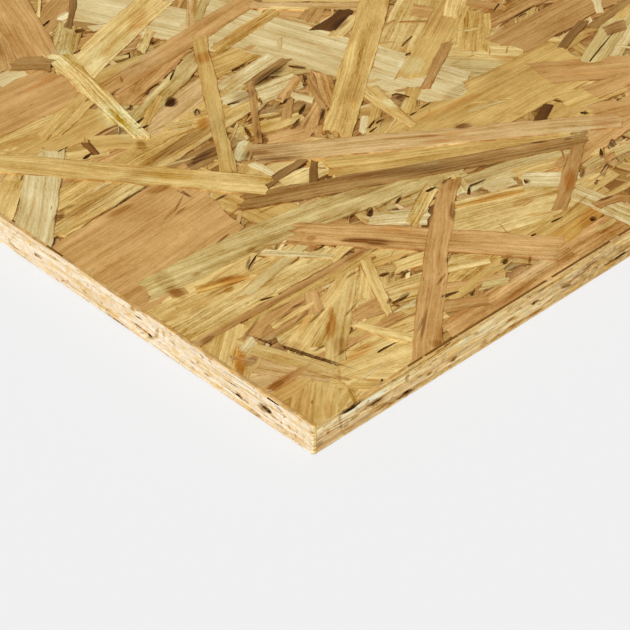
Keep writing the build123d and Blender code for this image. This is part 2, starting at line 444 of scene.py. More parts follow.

# Where resin, bark or heat has coloured the wood, and thin dark lines of painted shade in the cracks between
# strands pressed flush. Every row was read off the photograph and holds a smudge's fields in their order.
CORNER_SMUDGES: Stains = {
    Tone.AMBER: ((5.5, 37, 14, 4.6, 55, 0.95), (15.5, 30, 8, 3, -60, 0.4), (4, 13, 26, 15, 50, 0.42),
        (9, 3, 9, 3, 45, 0.4), (26.5, 5, 11, 1.6, -58, 0.45), (34, 15.8, 12, 4.6, 5, 0.65),
        (36, 29.8, 12, 3.4, 42, 0.8), (41, 34.8, 8, 2.2, 50, 0.6), (31, 68.2, 10, 4.6, -28, 0.9),
        (122, 42.6, 24, 2.2, -24, 0.6), (126.5, 35, 10, 5, 0, 0.35), (126, 26.5, 13, 2, -35, 0.5),
        (147, 32, 15, 4, 38, 0.8), (136, 14.5, 14, 5.5, 20, 0.65), (94.5, 23.5, 8, 2.6, -30, 0.6),
        (88, 2.5, 18, 3.2, 5, 0.45), (84, 141.5, 9, 4.4, 45, 0.85), (113, 210, 18, 7, 38, 0.5),
        (138, 178, 18, 5, 10, 0.4), (112.2, 173.2, 9, 7, 20, 0.75)),
    Tone.BARK: ((69, 126, 14, 3, 8, 0.7), (146, 79, 7, 4.4, -25, 0.9)),
    Tone.BROWN: ((87, 112, 24, 11, -36, 0.65), (174, 103, 24, 12, -50, 0.35), (161, 96, 16, 5, 10, 0.5),
        (105.5, 144.5, 10, 6, 0, 0.9), (141, 50, 54, 10, -14, 0.35)),
    Tone.CREAM: ((40, 127, 28, 4, 7, 0.3), (103, 8, 20, 8, 0, 0.5), (92, 199, 34, 16, 20, 0.4),
        (162.1, 118.7, 12, 9, 25, 0.8), (139.5, 105.5, 9, 8, 0, 0.8), (171, 49.5, 13, 9, -33, 0.35),
        (64.5, 162, 28, 11, 78, 0.85), (84, 134, 40, 6, 55, 0.35), (76, 208, 14, 10, 78, 0.5),
        (94, 186, 22, 12, 20, 0.5), (85, 124, 28, 5, 47, 0.7), (106, 132.5, 8, 7, 0, 0.6),
        (19, 37.3, 7, 6, 0, 0.6), (100, 14, 10, 5, 20, 0.6), (119, 50.7, 10, 7, 0, 0.6),
        (119, 71, 12, 6, -30, 0.6), (98, 57, 16, 5, -45, 0.5)),
    Tone.GOLD: ((56, 125, 18, 9, -50, 0.6),),
    Tone.OCHRE: ((5, 21.2, 6, 3.6, 0, 0.7), (14, 21.6, 16, 1.4, 1, 0.3), (22, 12, 7, 1.3, 48, 0.5),
        (20, 5, 11, 1.0, 85, 0.35), (26.5, 25.3, 5, 1.3, -10, 0.7), (52, 20, 9, 1.6, -10, 0.5),
        (53, 2, 5, 4, -60, 0.7), (50, 50.9, 44, 2.2, 0, 0.5), (67, 51, 9, 3.2, 0, 0.7),
        (32, 21.8, 9, 5, 42, 0.7), (29, 2.5, 14, 6, 15, 0.35), (70, 136, 36, 8, 6, 0.6),
        (31, 131.5, 38, 8, 5, 0.5), (25, 66.8, 12, 3, -5, 0.6), (27, 70.8, 14, 2.8, -12, 0.85),
        (27, 65.4, 4, 2.2, 0, 0.8), (14.3, 75, 8, 4, 85, 0.8), (25, 78, 4, 2, 0, 0.5),
        (46, 76, 4, 2, 10, 0.6), (58, 75.2, 18, 1.9, -9, 0.7), (74, 73, 14, 1.3, -6, 0.5),
        (63.5, 67.2, 4, 3, 0, 0.7), (30, 121, 12, 2.8, 0, 0.8), (47, 121.6, 9, 3.6, -15, 0.8),
        (18, 123.7, 15, 1.1, 0, 0.6), (28.5, 144.5, 6, 5, 0, 0.4), (66, 89, 10, 1.3, -5, 0.8),
        (41, 108.6, 11, 1.5, 20, 0.5), (10, 93.3, 10, 1.6, 0, 0.45), (60, 145.5, 7, 3.5, 60, 0.8),
        (75, 141.6, 13, 1.4, -8, 0.8), (83.5, 19.8, 5, 4, 0, 0.5), (100, 17, 6, 3.4, 20, 0.6),
        (138, 21.5, 15, 1.1, 10, 0.6), (76, 4, 40, 9, 0, 0.3), (163, 33, 12, 7, 30, 0.35),
        (95, 74, 15, 6, -20, 0.5), (133, 118, 10, 7, 50, 0.4), (67, 17, 28, 6, 39, 0.35),
        (104, 178, 26, 8, 18, 0.4), (84, 114.5, 10, 4.4, -40, 0.6), (128, 86, 22, 2.6, -38, 0.7),
        (125, 127.5, 18, 1.4, 65, 0.7), (233, 86, 11, 6, 20, 0.5), (68, 132.6, 15, 4, 5, 0.4),
        (115, 85.7, 11, 6, -30, 0.45), (131, 79, 26, 4, -23, 0.35), (139, 9.6, 10, 5, 20, 0.5),
        (28, 113, 30, 16, 0, 0.3), (15.6, 82, 15, 6, 70, 0.4), (83.4, 30, 14, 3, 45, 0.5),
        (78, 71, 16, 9, -10, 0.35), (183, 88.6, 30, 13, -10, 0.25), (118, 6.3, 18, 4, 8, 0.4),
        (7, 21.3, 9, 2.0, 0, 0.4)),
    Tone.RUSSET: ((21.5, 31, 10, 5, -70, 0.7), (12.5, 64.8, 5, 2, 0, 0.6), (4, 66.5, 7, 1.4, -10, 0.6)),
    Tone.TAN: ((183, 48, 10, 9, -33, 1.0), (188, 132, 16, 9, 28, 0.8)),
    Tone.UMBER: ((8.3, 34.8, 5, 3.5, 20, 0.6), (32, 19.3, 12, 1.0, 4, 0.6), (37, 37, 9, 1.0, 15, 0.8),
        (34, 40, 8, 1.0, 12, 0.7), (57, 11.5, 16, 1.1, 38, 0.6), (5.5, 51, 6, 3, 0, 0.6),
        (19, 46.4, 13, 1.2, 24, 0.6), (31, 48.1, 12, 1.0, -3, 0.55), (60, 44.8, 7, 1.1, 5, 0.7),
        (69.5, 137.2, 24, 5, 8, 0.5), (75.5, 54, 17, 3.8, -48, 0.8), (72.4, 56.8, 9, 1.6, -44, 0.75),
        (76.5, 50.2, 7, 1.4, -48, 0.7), (51, 62, 6, 1.3, 8, 0.5), (14, 132, 7, 3, 25, 0.9),
        (18.5, 134.2, 8, 1.8, -5, 0.7), (43.5, 86.6, 7, 1.1, 12, 0.8), (58.5, 104.4, 6, 1.1, 0, 0.8),
        (51.4, 113.6, 7, 1.1, -80, 0.7), (83.5, 68, 7, 1.1, 10, 0.7), (97, 64.9, 14, 0.9, 0, 0.7),
        (106.5, 46.6, 11, 2.2, 42, 0.8), (147.5, 17.4, 6, 1.6, -15, 0.9), (109, 75, 36, 6, -33, 0.45),
        (127, 64, 28, 6, -28, 0.4), (164, 157, 10, 5, 18, 0.7), (108.5, 119.5, 11, 7, 30, 0.4),
        (87, 107.6, 16, 2.2, -38, 0.65), (93, 122, 6, 4, 60, 0.6), (47, 32.3, 8, 0.9, 18, 0.9),
        (29, 43.5, 10, 0.9, 8, 0.8), (52, 62.3, 5, 0.9, 10, 0.8), (78.5, 40.5, 4, 1.0, 0, 0.8),
        (105, 12, 4, 1.0, 35, 0.8), (77, 23.5, 7, 1.0, 20, 0.9), (168.5, 36, 6, 1.0, 40, 0.8),
        (157, 54.3, 6, 1.2, -30, 0.9), (165.3, 49, 3, 1.2, -30, 0.9), (113, 132.3, 9, 1.1, 5, 0.8),
        (125, 101.5, 9, 1.1, 15, 0.8), (139.5, 96.4, 4, 1.0, 0, 0.9), (146.5, 97.2, 6, 0.9, 3, 0.9),
        (91.5, 127.5, 8, 1.6, 65, 0.8), (85, 170.5, 9, 1.2, 15, 0.8), (97.5, 172.5, 8, 0.9, 38, 0.8),
        (72.5, 166.5, 4, 1.6, 20, 0.8), (104, 198, 4, 2, 30, 0.7), (107, 195, 5, 1, 40, 0.8),
        (90, 186, 10, 0.9, 5, 0.8), (82, 182, 5, 0.9, 60, 0.7), (75.5, 177.5, 6, 1.0, 10, 0.8),
        (46.5, 111, 10, 0.9, 32, 0.7), (44, 107.3, 6, 1.2, 12, 0.7)),
    # painted shade down cracks and small openings
    Tone.VOID: ((21.2, 28.4, 34, 1.2, -70.6, 1.0), (121, 148.4, 18, 4.6, 8, 0.7),
        (56, 12, 8, 0.9, 32, 0.65), (36.5, 45, 5, 1.2, -8, 0.7), (26.8, 25.3, 4, 1.1, 5, 0.7),
        (58, 27.2, 4, 1.2, 30, 0.65), (63.5, 26, 5, 1.6, 0, 0.7), (72.5, 34.3, 3, 1.4, 10, 0.7),
        (69, 36.5, 4, 1.2, 30, 0.65), (66.5, 38.3, 3.4, 1.4, 0, 0.7), (79.5, 12.5, 3, 0.9, 40, 0.65),
        (72.5, 17, 4.5, 1.3, -8, 0.7), (99, 17.3, 4, 1.4, 10, 0.7), (86.5, 29.5, 4, 1.2, 25, 0.65),
        (87.6, 65.2, 5, 2.2, 40, 0.7), (99, 63.5, 5, 1.1, 15, 0.65), (111, 60, 4, 1.4, 5, 0.65),
        (117.5, 60, 5, 1.4, 10, 0.7), (120.5, 51.8, 4, 1.2, 35, 0.4), (125.5, 52.2, 6, 1.2, 0, 0.7),
        (136.3, 13, 2.4, 2.2, 0, 1.0), (137, 41.8, 2, 2.6, 0, 0.65), (162, 29.5, 8, 1.5, 28, 0.7),
        (158.5, 27.3, 3, 1.4, 30, 0.7), (154, 32.5, 6, 1.2, 35, 0.65), (175, 37.5, 4, 2.4, 40, 0.65),
        (182.3, 56, 3, 1.4, 40, 0.65), (85.3, 159.2, 6.5, 4.4, 50, 1.0), (114.5, 125, 7, 1.6, 32, 0.65),
        (107, 119.5, 8, 1.4, 30, 0.65), (117.5, 118, 6, 2, 38, 0.7), (132.5, 146, 6, 1.8, -55, 0.65),
        (129.3, 139, 4, 1.3, 35, 0.65), (144.5, 107, 3.6, 5, -20, 0.7), (100.5, 144, 5, 1.4, -20, 0.65),
        (69, 157, 5.5, 1.2, 12, 0.7), (67, 153.5, 4, 1.2, 0, 0.7), (87.5, 148.5, 3.6, 3, 60, 0.65),
        (43, 153, 5, 1.3, 5, 0.65), (40.5, 71.5, 7, 1.1, 38, 0.65), (59, 104.4, 5, 1.3, -5, 0.65),
        (51.7, 113.6, 5, 1.2, 80, 0.65)),
    Tone.WHEAT: ((24, 102.5, 64, 42, 8, 0.5),),
}

# Tears, resin and darker layers on the short side, by their distance from the corner and their height
SHORT_SIDE_SMUDGES: Stains = {
    Tone.BROWN: ((24.6, 1.2, 5, 1.8, 0, 0.8), (45.4, 3.4, 2.6, 1.0, 0, 0.8), (51.7, 4.3, 2.6, 1.0, 0, 0.8),
        (65, 7.8, 1.4, 3.6, 0, 0.7), (103, 3.4, 2.6, 1.6, 0, 0.7), (139, 2.4, 6, 1.3, 5, 0.7)),
    Tone.GOLD: ((89.6, 2.2, 6, 2.4, 0, 0.7), (1.2, 7.5, 2, 6, 0, 0.7), (100, 9.8, 9, 1.6, 3, 0.7)),
    Tone.OCHRE: ((31.5, 3.6, 3.2, 2.0, 0, 0.7), (61, 6.8, 2.6, 0.9, 20, 0.7), (68.3, 6, 1.8, 5, 15, 0.8),
        (76, 4.1, 9, 1.0, 4, 0.8), (78, 10.3, 6, 2.0, -25, 0.9), (89, 10.8, 14, 1.0, 0, 0.7),
        (44.6, 10.7, 5, 1.4, 0, 0.9), (32.5, 10.8, 7, 1.2, 0, 0.8), (55, 10.9, 8, 1.0, 0, 0.6),
        (12, 10.9, 10, 1.0, 0, 0.6), (118, 8.6, 8, 1.2, -5, 0.7), (150, 7.2, 5, 1.5, 12, 0.7),
        (162, 10.4, 10, 1.5, 0, 0.8)),
    Tone.UMBER: ((20.4, 5.6, 5.5, 3.4, -10, 0.7), (17.4, 4.7, 5, 1.3, 10, 0.6), (71, 3.3, 4, 1.6, -30, 0.7),
        (75.8, 7.7, 2.6, 1.2, 0, 0.5), (87, 0.5, 11, 0.9, 0, 0.7), (126, 5, 4, 1.6, 0, 0.6)),
}

# The same on the long side, and the painted shade down one gap
LONG_SIDE_SMUDGES: Stains = {
    Tone.BROWN: ((11, 6, 1.4, 6, -10, 0.8), (2.5, 3, 3, 2, 0, 0.6), (13.3, 4, 2.6, 2.6, 0, 0.7),
        (101, 9, 14, 1.5, 2, 0.6), (124, 4, 44, 9, 3, 0.6)),
    Tone.OCHRE: ((31.5, 1.5, 8, 1.7, 0, 0.8), (26.7, 2.8, 10, 1.8, 3, 0.6), (71.7, 2, 4, 2.4, 0, 0.6),
        (84, 4.8, 4, 1.8, 10, 0.8), (86, 1.8, 10, 1.8, 0, 0.7), (95, 1.6, 8, 1.5, 0, 0.8),
        (78, 1.2, 8, 1.3, 0, 0.7), (131, 3, 9, 1.5, 4, 0.8)),
    Tone.PALE: ((24, 7.8, 28, 2.2, 0, 0.7), (66, 7.5, 22, 1.8, 0, 0.8)),
    Tone.RUST: ((6, 5.6, 1.6, 2.4, 0, 0.8),),
    Tone.UMBER: ((25.4, 5.6, 9, 1.7, 2, 0.7), (16.7, 4.8, 4, 1.1, 0, 0.9), (38.3, 7.7, 2, 2.6, 20, 0.8),
        (38, 1.4, 8, 1.6, 0, 0.9), (43.5, 5, 3, 1.2, 20, 0.6), (48, 3.7, 3, 1.2, 0, 0.8),
        (58.3, 3.4, 3.6, 1.5, -10, 0.9), (53.3, 10.6, 8, 1.3, 0, 0.7), (94, 6, 5, 1.1, 5, 0.9),
        (109, 4.5, 5, 1.6, 8, 0.7), (121, 7, 7, 1.2, -4, 0.7)),
    # painted shade down a gap near the upper face
    Tone.VOID: ((15, 9.6, 10.5, 2.0, 2, 0.8),),
}


def linear(colour: str) -> tuple[float, float, float, float]:
    """Turns an sRGB hex colour to the linear values that a socket takes.

    Args:
        colour: The colour as #RRGGBB.

    Returns:
        Red, green, blue and a full alpha, all linear.
    """
    shares = (int(colour[i:i + 2], 16) / 255 for i in (1, 3, 5))
    return (*(s / 12.92 if s <= 0.04045 else ((s + 0.055) / 1.055) ** 2.4 for s in shares), 1.0)


def add(tree: bpy.types.NodeTree, kind: str, *values: object, **named: object) -> bpy.types.Node:
    """Adds a node with its settings and links.

    Args:
        tree: The node tree that gets the node.
        kind: Blender's name for the node type.
        values: What goes into the inputs, in their order: a plain value, an output socket, or a node whose
            first output is meant.
        named: With a small first letter, the value of one of the node's own properties. With a capital,
            what goes into the input of that name, where an underscore stands for a space.

    Returns:
        The new node.
    """
    made = tree.nodes.new(kind)
    for name in filter(lambda name: name[0].islower(), named):
        setattr(made, name, named[name])
    fed = [(made.inputs[number], value) for number, value in enumerate(values)]
    for name in filter(lambda name: name[0].isupper(), named):
        label = name.replace("_", " ")
        fed.append((next(s for s in made.inputs if s.name == label and s.enabled), named[name]))
    for socket, value in fed:
        if isinstance(value, bpy.types.Node):
            value = next(s for s in value.outputs if s.enabled)
        if isinstance(value, bpy.types.NodeSocket):
            tree.links.new(value, socket)
        else:
            socket.default_value = value
    return made


def in_scene(name: str, data: bpy.types.ID) -> bpy.types.Object:
    """Makes an object from a mesh, lamp or camera and puts it in the scene.

    Args:
        name: The object's name.
        data: What it shows.

    Returns:
        The new object.
    """
    made = bpy.data.objects.new(name, data)
    bpy.context.scene.collection.objects.link(made)
    return made


def open_material(name: str) -> tuple[bpy.types.Material, bpy.types.NodeTree]:
    """Starts a node material.

    Args:
        name: The material's name.

    Returns:
        The material and its empty tree.
    """
    material = bpy.data.materials.new(name)
    material.use_nodes = True
    material.node_tree.nodes.clear()
    return material, material.node_tree


def close_material(tree: bpy.types.NodeTree, height: object, relief: float, **settings: object) -> None:
    """Ends a wood material: a bump from its height, the shader and the output.

    Args:
        tree: The material's tree.
        height: The height of the fine relief, from about 0 to 1.
        relief: How far that relief stands out, in metres.
        settings: What goes into the shader's inputs.
    """
    bump = add(tree, "ShaderNodeBump", Height=height, Distance=relief)
    shader = add(tree, "ShaderNodeBsdfPrincipled", Normal=bump, **settings)
    add(tree, "ShaderNodeOutputMaterial", Surface=shader)


def open_tree(name: str, inputs: dict[str, object]) -> tuple[bpy.types.NodeTree, bpy.types.Node]:
    """Starts a geometry tree with named inputs and one geometry output.

    Args:
        name: The tree's name.
        inputs: Each input's name with its default: a number, a vector, or None for a material.

    Returns:
        The tree and its group input node.
    """
    kinds = {int: "NodeSocketInt", float: "NodeSocketFloat", tuple: "NodeSocketVector",
             type(None): "NodeSocketMaterial"}
    tree = bpy.data.node_groups.new(name, "GeometryNodeTree")
    tree.interface.new_socket(name="Geometry", in_out="INPUT", socket_type="NodeSocketGeometry")
    for label, value in inputs.items():
        socket = tree.interface.new_socket(name=label, in_out="INPUT", socket_type=kinds[type(value)])
        if value is not None:
            socket.default_value = value
    tree.interface.new_socket(name="Geometry", in_out="OUTPUT", socket_type="NodeSocketGeometry")
    return tree, add(tree, "NodeGroupInput")


LAY_INPUTS = {"Outward": (0.0, 0.0, 1.0), "Slab": 0.0007, "Steps Along": 6, "Steps Across": 2,
              "Edge Wander": 0.0003, "End Wander": 0.002, "Slant": 0.5, "Pointed": 0.0, "Crown": 0.0001,
              "Tilt": 0.0001, "Material": None}
FINISH_FACTS = {"grain": "FLOAT_VECTOR", "flank": "FLOAT_VECTOR", "stain": "FLOAT_COLOR"}
POINT_FACTS = {"head": "FLOAT_VECTOR", "tail": "FLOAT_VECTOR", "girth": "FLOAT", "taper": "FLOAT",
               "bow": "FLOAT", "drop": "FLOAT", "mark": "FLOAT", "stain": "FLOAT_COLOR"}


def lay_tree() -> bpy.types.NodeTree:
    """Builds the group that lays one thin closed strand at every point.

    A point carries the strand's head and tail, its girth, taper, bow, drop below the face, a number of
    its own and its colour. The strand's outline wanders, its ends are ragged and its long edges droop.

    Returns:
        The node group.
    """
    wave = 0.009  # metres from one wave of a flank to the next
    tooth = 0.0017  # metres from one tooth of a ragged end to the next
    full_width = 0.009  # metres of width from which an end is as ragged as asked
    apart = 31.0  # keeps the patterns of the two flanks, and of the two ends, from looking alike
    blunt = 1.03  # a little over 1, so that a drawn-in strand still has some width at its ends
    end_power, droop_power = 8.0, 4.0  # how close to the ends and to the flanks the outline changes
    least_ragged = 0.2  # the share of the raggedness that is left on the thinnest strand
    swell = (0.3, 0.7, -1.0, 1.0)  # a noise's usual values, and how far to each side they are drawn out
    tree, given = open_tree("lay strands", LAY_INPUTS)
    block = add(tree, "GeometryNodeMeshCube", Vertices_X=given.outputs["Steps Along"],
                Vertices_Y=given.outputs["Steps Across"], Vertices_Z=2)
    marked = add(tree, STORE, data_type="FLOAT_VECTOR", domain="POINT", Geometry=block.outputs["Mesh"],
                 Name="slab", Value=add(tree, "GeometryNodeInputPosition"))
    placed = add(tree, "GeometryNodeInstanceOnPoints", Points=given.outputs["Geometry"], Instance=marked)
    loose = add(tree, "GeometryNodeRealizeInstances", Geometry=placed)

    fact = {name: add(tree, "GeometryNodeInputNamedAttribute", data_type=kind, Name=name)
            for name, kind in {**POINT_FACTS, "slab": "FLOAT_VECTOR"}.items()}
    slab = add(tree, SEPARATE, fact["slab"])
    even, sy, sz = slab.outputs
    # the steps crowd towards both ends, where the outline is ragged
    turned = add(tree, MATH, add(tree, MATH, even, math.pi, operation="MULTIPLY"), operation="SINE")
    sx = add(tree, MATH, turned, 0.5, operation="MULTIPLY")
    share = add(tree, MATH, sx, 0.5, operation="ADD")
    run = add(tree, VECTOR, fact["tail"], fact["head"], operation="SUBTRACT")
    length = add(tree, VECTOR, run, operation="LENGTH").outputs["Value"]
    way = add(tree, VECTOR, run, operation="NORMALIZE")
    side = add(tree, VECTOR, given.outputs["Outward"], way, operation="CROSS_PRODUCT")

    # how far along and across each corner of the slab is from the middle, from 0 to 1
    off_middle = add(tree, MATH, add(tree, MATH, sx, 2.0, operation="MULTIPLY"), operation="ABSOLUTE")
    off_line = add(tree, MATH, add(tree, MATH, sy, 2.0, operation="MULTIPLY"), operation="ABSOLUTE")

    # the width: tapered along the strand, and drawn in to a point where asked
    tapered = add(tree, RANGE, share, 0.0, 1.0, 1.0, fact["taper"])
    squared = add(tree, MATH, off_middle, off_middle, operation="MULTIPLY")
    left_over = add(tree, MATH, blunt, squared, operation="SUBTRACT")
    lens = add(tree, MATH, left_over, operation="SQRT")
    drawn = add(tree, RANGE, given.outputs["Pointed"], 0.0, 1.0, 1.0, lens)
    width = add(tree, MATH, fact["girth"], tapered, operation="MULTIPLY")
    width = add(tree, MATH, width, drawn, operation="MULTIPLY")

    # the flanks wander, each in its own way
    metres = add(tree, MATH, share, length, operation="MULTIPLY")
    flank_spot = add(tree, COMBINE, add(tree, MATH, metres, wave, operation="DIVIDE"),
                     add(tree, MATH, sy, apart, operation="MULTIPLY"), fact["mark"])
    flank = add(tree, NOISE, Vector=flank_spot, Scale=1.0, Detail=3.0)
    flank = add(tree, RANGE, flank.outputs[0], *swell)
    flank = add(tree, MATH, flank, given.outputs["Edge Wander"], operation="MULTIPLY")
    flank = add(tree, MATH, flank, off_line, operation="MULTIPLY")

    # the ends are ragged and cut at a slant
    across = add(tree, MATH, sy, width, operation="MULTIPLY")
    end_spot = add(tree, COMBINE, add(tree, MATH, across, tooth, operation="DIVIDE"),
                   add(tree, MATH, sx, apart, operation="MULTIPLY"), fact["mark"])
    ragged = add(tree, NOISE, Vector=end_spot, Scale=1.0, Detail=3.0)
    ragged = add(tree, RANGE, ragged.outputs[0], *swell)
    ragged = add(tree, MATH, ragged, given.outputs["End Wander"], operation="MULTIPLY")
    breadth = add(tree, RANGE, width, 0.0, full_width, least_ragged, 1.0)
    ragged = add(tree, MATH, ragged, breadth, operation="MULTIPLY")
    turn = add(tree, "ShaderNodeTexWhiteNoise", noise_dimensions="1D", W=fact["mark"])
    slant = add(tree, RANGE, turn.outputs[0], 0.0, 1.0, -1.0, 1.0)
    slant = add(tree, MATH, slant, given.outputs["Slant"], operation="MULTIPLY")
    slant = add(tree, MATH, slant, across, operation="MULTIPLY")
    ending = add(tree, MATH, off_middle, end_power, operation="POWER")
    ending = add(tree, MATH, add(tree, MATH, ragged, slant, operation="ADD"), ending, operation="MULTIPLY")

    # the place along, across and below the face
    along = add(tree, MATH, metres, ending, operation="ADD")
    arch = add(tree, MATH, 1.0, squared, operation="SUBTRACT")
    bowed = add(tree, MATH, fact["bow"], arch, across, operation="MULTIPLY_ADD")
    sideways = add(tree, MATH, bowed, flank, operation="ADD")
    lift = add(tree, MATH, sz, 0.5, operation="SUBTRACT")
    lift = add(tree, MATH, lift, given.outputs["Slab"], operation="MULTIPLY")
    lift = add(tree, MATH, lift, fact["drop"], operation="SUBTRACT")
    droop = add(tree, MATH, add(tree, MATH, off_line, droop_power, operation="POWER"),
                given.outputs["Crown"], operation="MULTIPLY")
    lift = add(tree, MATH, lift, droop, operation="SUBTRACT")
    lean = add(tree, RANGE, turn.outputs[0], 0.0, 1.0, -1.0, 1.0)
    lean = add(tree, MATH, lean, sx, operation="MULTIPLY")
    lean = add(tree, MATH, lean, 0.5, operation="SUBTRACT")
    lift = add(tree, MATH, lean, given.outputs["Tilt"], lift, operation="MULTIPLY_ADD")

    spot = add(tree, VECTOR, way, along, fact["head"], operation="MULTIPLY_ADD")
    spot = add(tree, VECTOR, side, sideways, spot, operation="MULTIPLY_ADD")
    spot = add(tree, VECTOR, given.outputs["Outward"], lift, spot, operation="MULTIPLY_ADD")
    shaped = add(tree, "GeometryNodeSetPosition", Geometry=loose, Position=spot)

    # what the finish reads, on the face corners so that a cut keeps it: millimetres along and across the
    # strand, the share across it from -1 to 1 with its width in millimetres, and its colour
    grain = add(tree, COMBINE, along, sideways)
    grain = add(tree, VECTOR, grain, operation="SCALE", Scale=1 / MM)
    own = add(tree, COMBINE, Z=fact["mark"])
    grain = add(tree, VECTOR, grain, own, operation="ADD")
    flank_facts = add(tree, COMBINE, add(tree, MATH, sy, 2.0, operation="MULTIPLY"),
                      add(tree, MATH, width, 1 / MM, operation="MULTIPLY"), fact["mark"])
    told = shaped
    for label, value in (("grain", grain), ("flank", flank_facts), ("stain", fact["stain"])):
        told = add(tree, STORE, data_type=FINISH_FACTS[label], domain="CORNER", Geometry=told, Name=label,
                   Value=value)
    dressed = add(tree, "GeometryNodeSetMaterial", Geometry=told, Material=given.outputs["Material"])
    add(tree, "NodeGroupOutput", Geometry=dressed)
    return tree


def close_tree(tree: bpy.types.NodeTree, lay: bpy.types.NodeTree, points: bpy.types.Node,
               hold: bpy.types.bpy_prop_collection) -> None:
    """Ends a tree: lays a strand at each point, makes the strands real and gives them their finish.

    Args:
        tree: The tree that is ended.
        lay: The group that lays a strand at each point.
        points: The points, which carry the strands' facts.
        hold: The tree's own inputs.
    """
    laid = add(tree, "GeometryNodeGroup", node_tree=lay, Geometry=points,
               **{label: hold[label] for label in LAY_INPUTS})
    real = add(tree, "GeometryNodeRealizeInstances", Geometry=laid)
    dressed = add(tree, "GeometryNodeSetMaterial", Geometry=real, Material=hold["Material"])
    add(tree, "NodeGroupOutput", Geometry=dressed)


SCATTER_INPUTS = {"Centre": (0.0, 0.0, 0.0), "Along": (1.0, 0.0, 0.0), "Run": 1.0, "Breadth": 1.0,
                  "Columns": 10, "Rows": 10, "Unevenness": 1.0, "Shortest": 0.06, "Longest": 0.12,
                  "Narrowest": 0.005, "Widest": 0.03, "Turn": 0.8, "Shallow": 0.0002, "Deep": 0.001,
                  "Sunk Spot": (0.0, 0.0, 0.0), "Sunk Reach": 0.0, "Sunk By": 0.0, "Seed": 0}


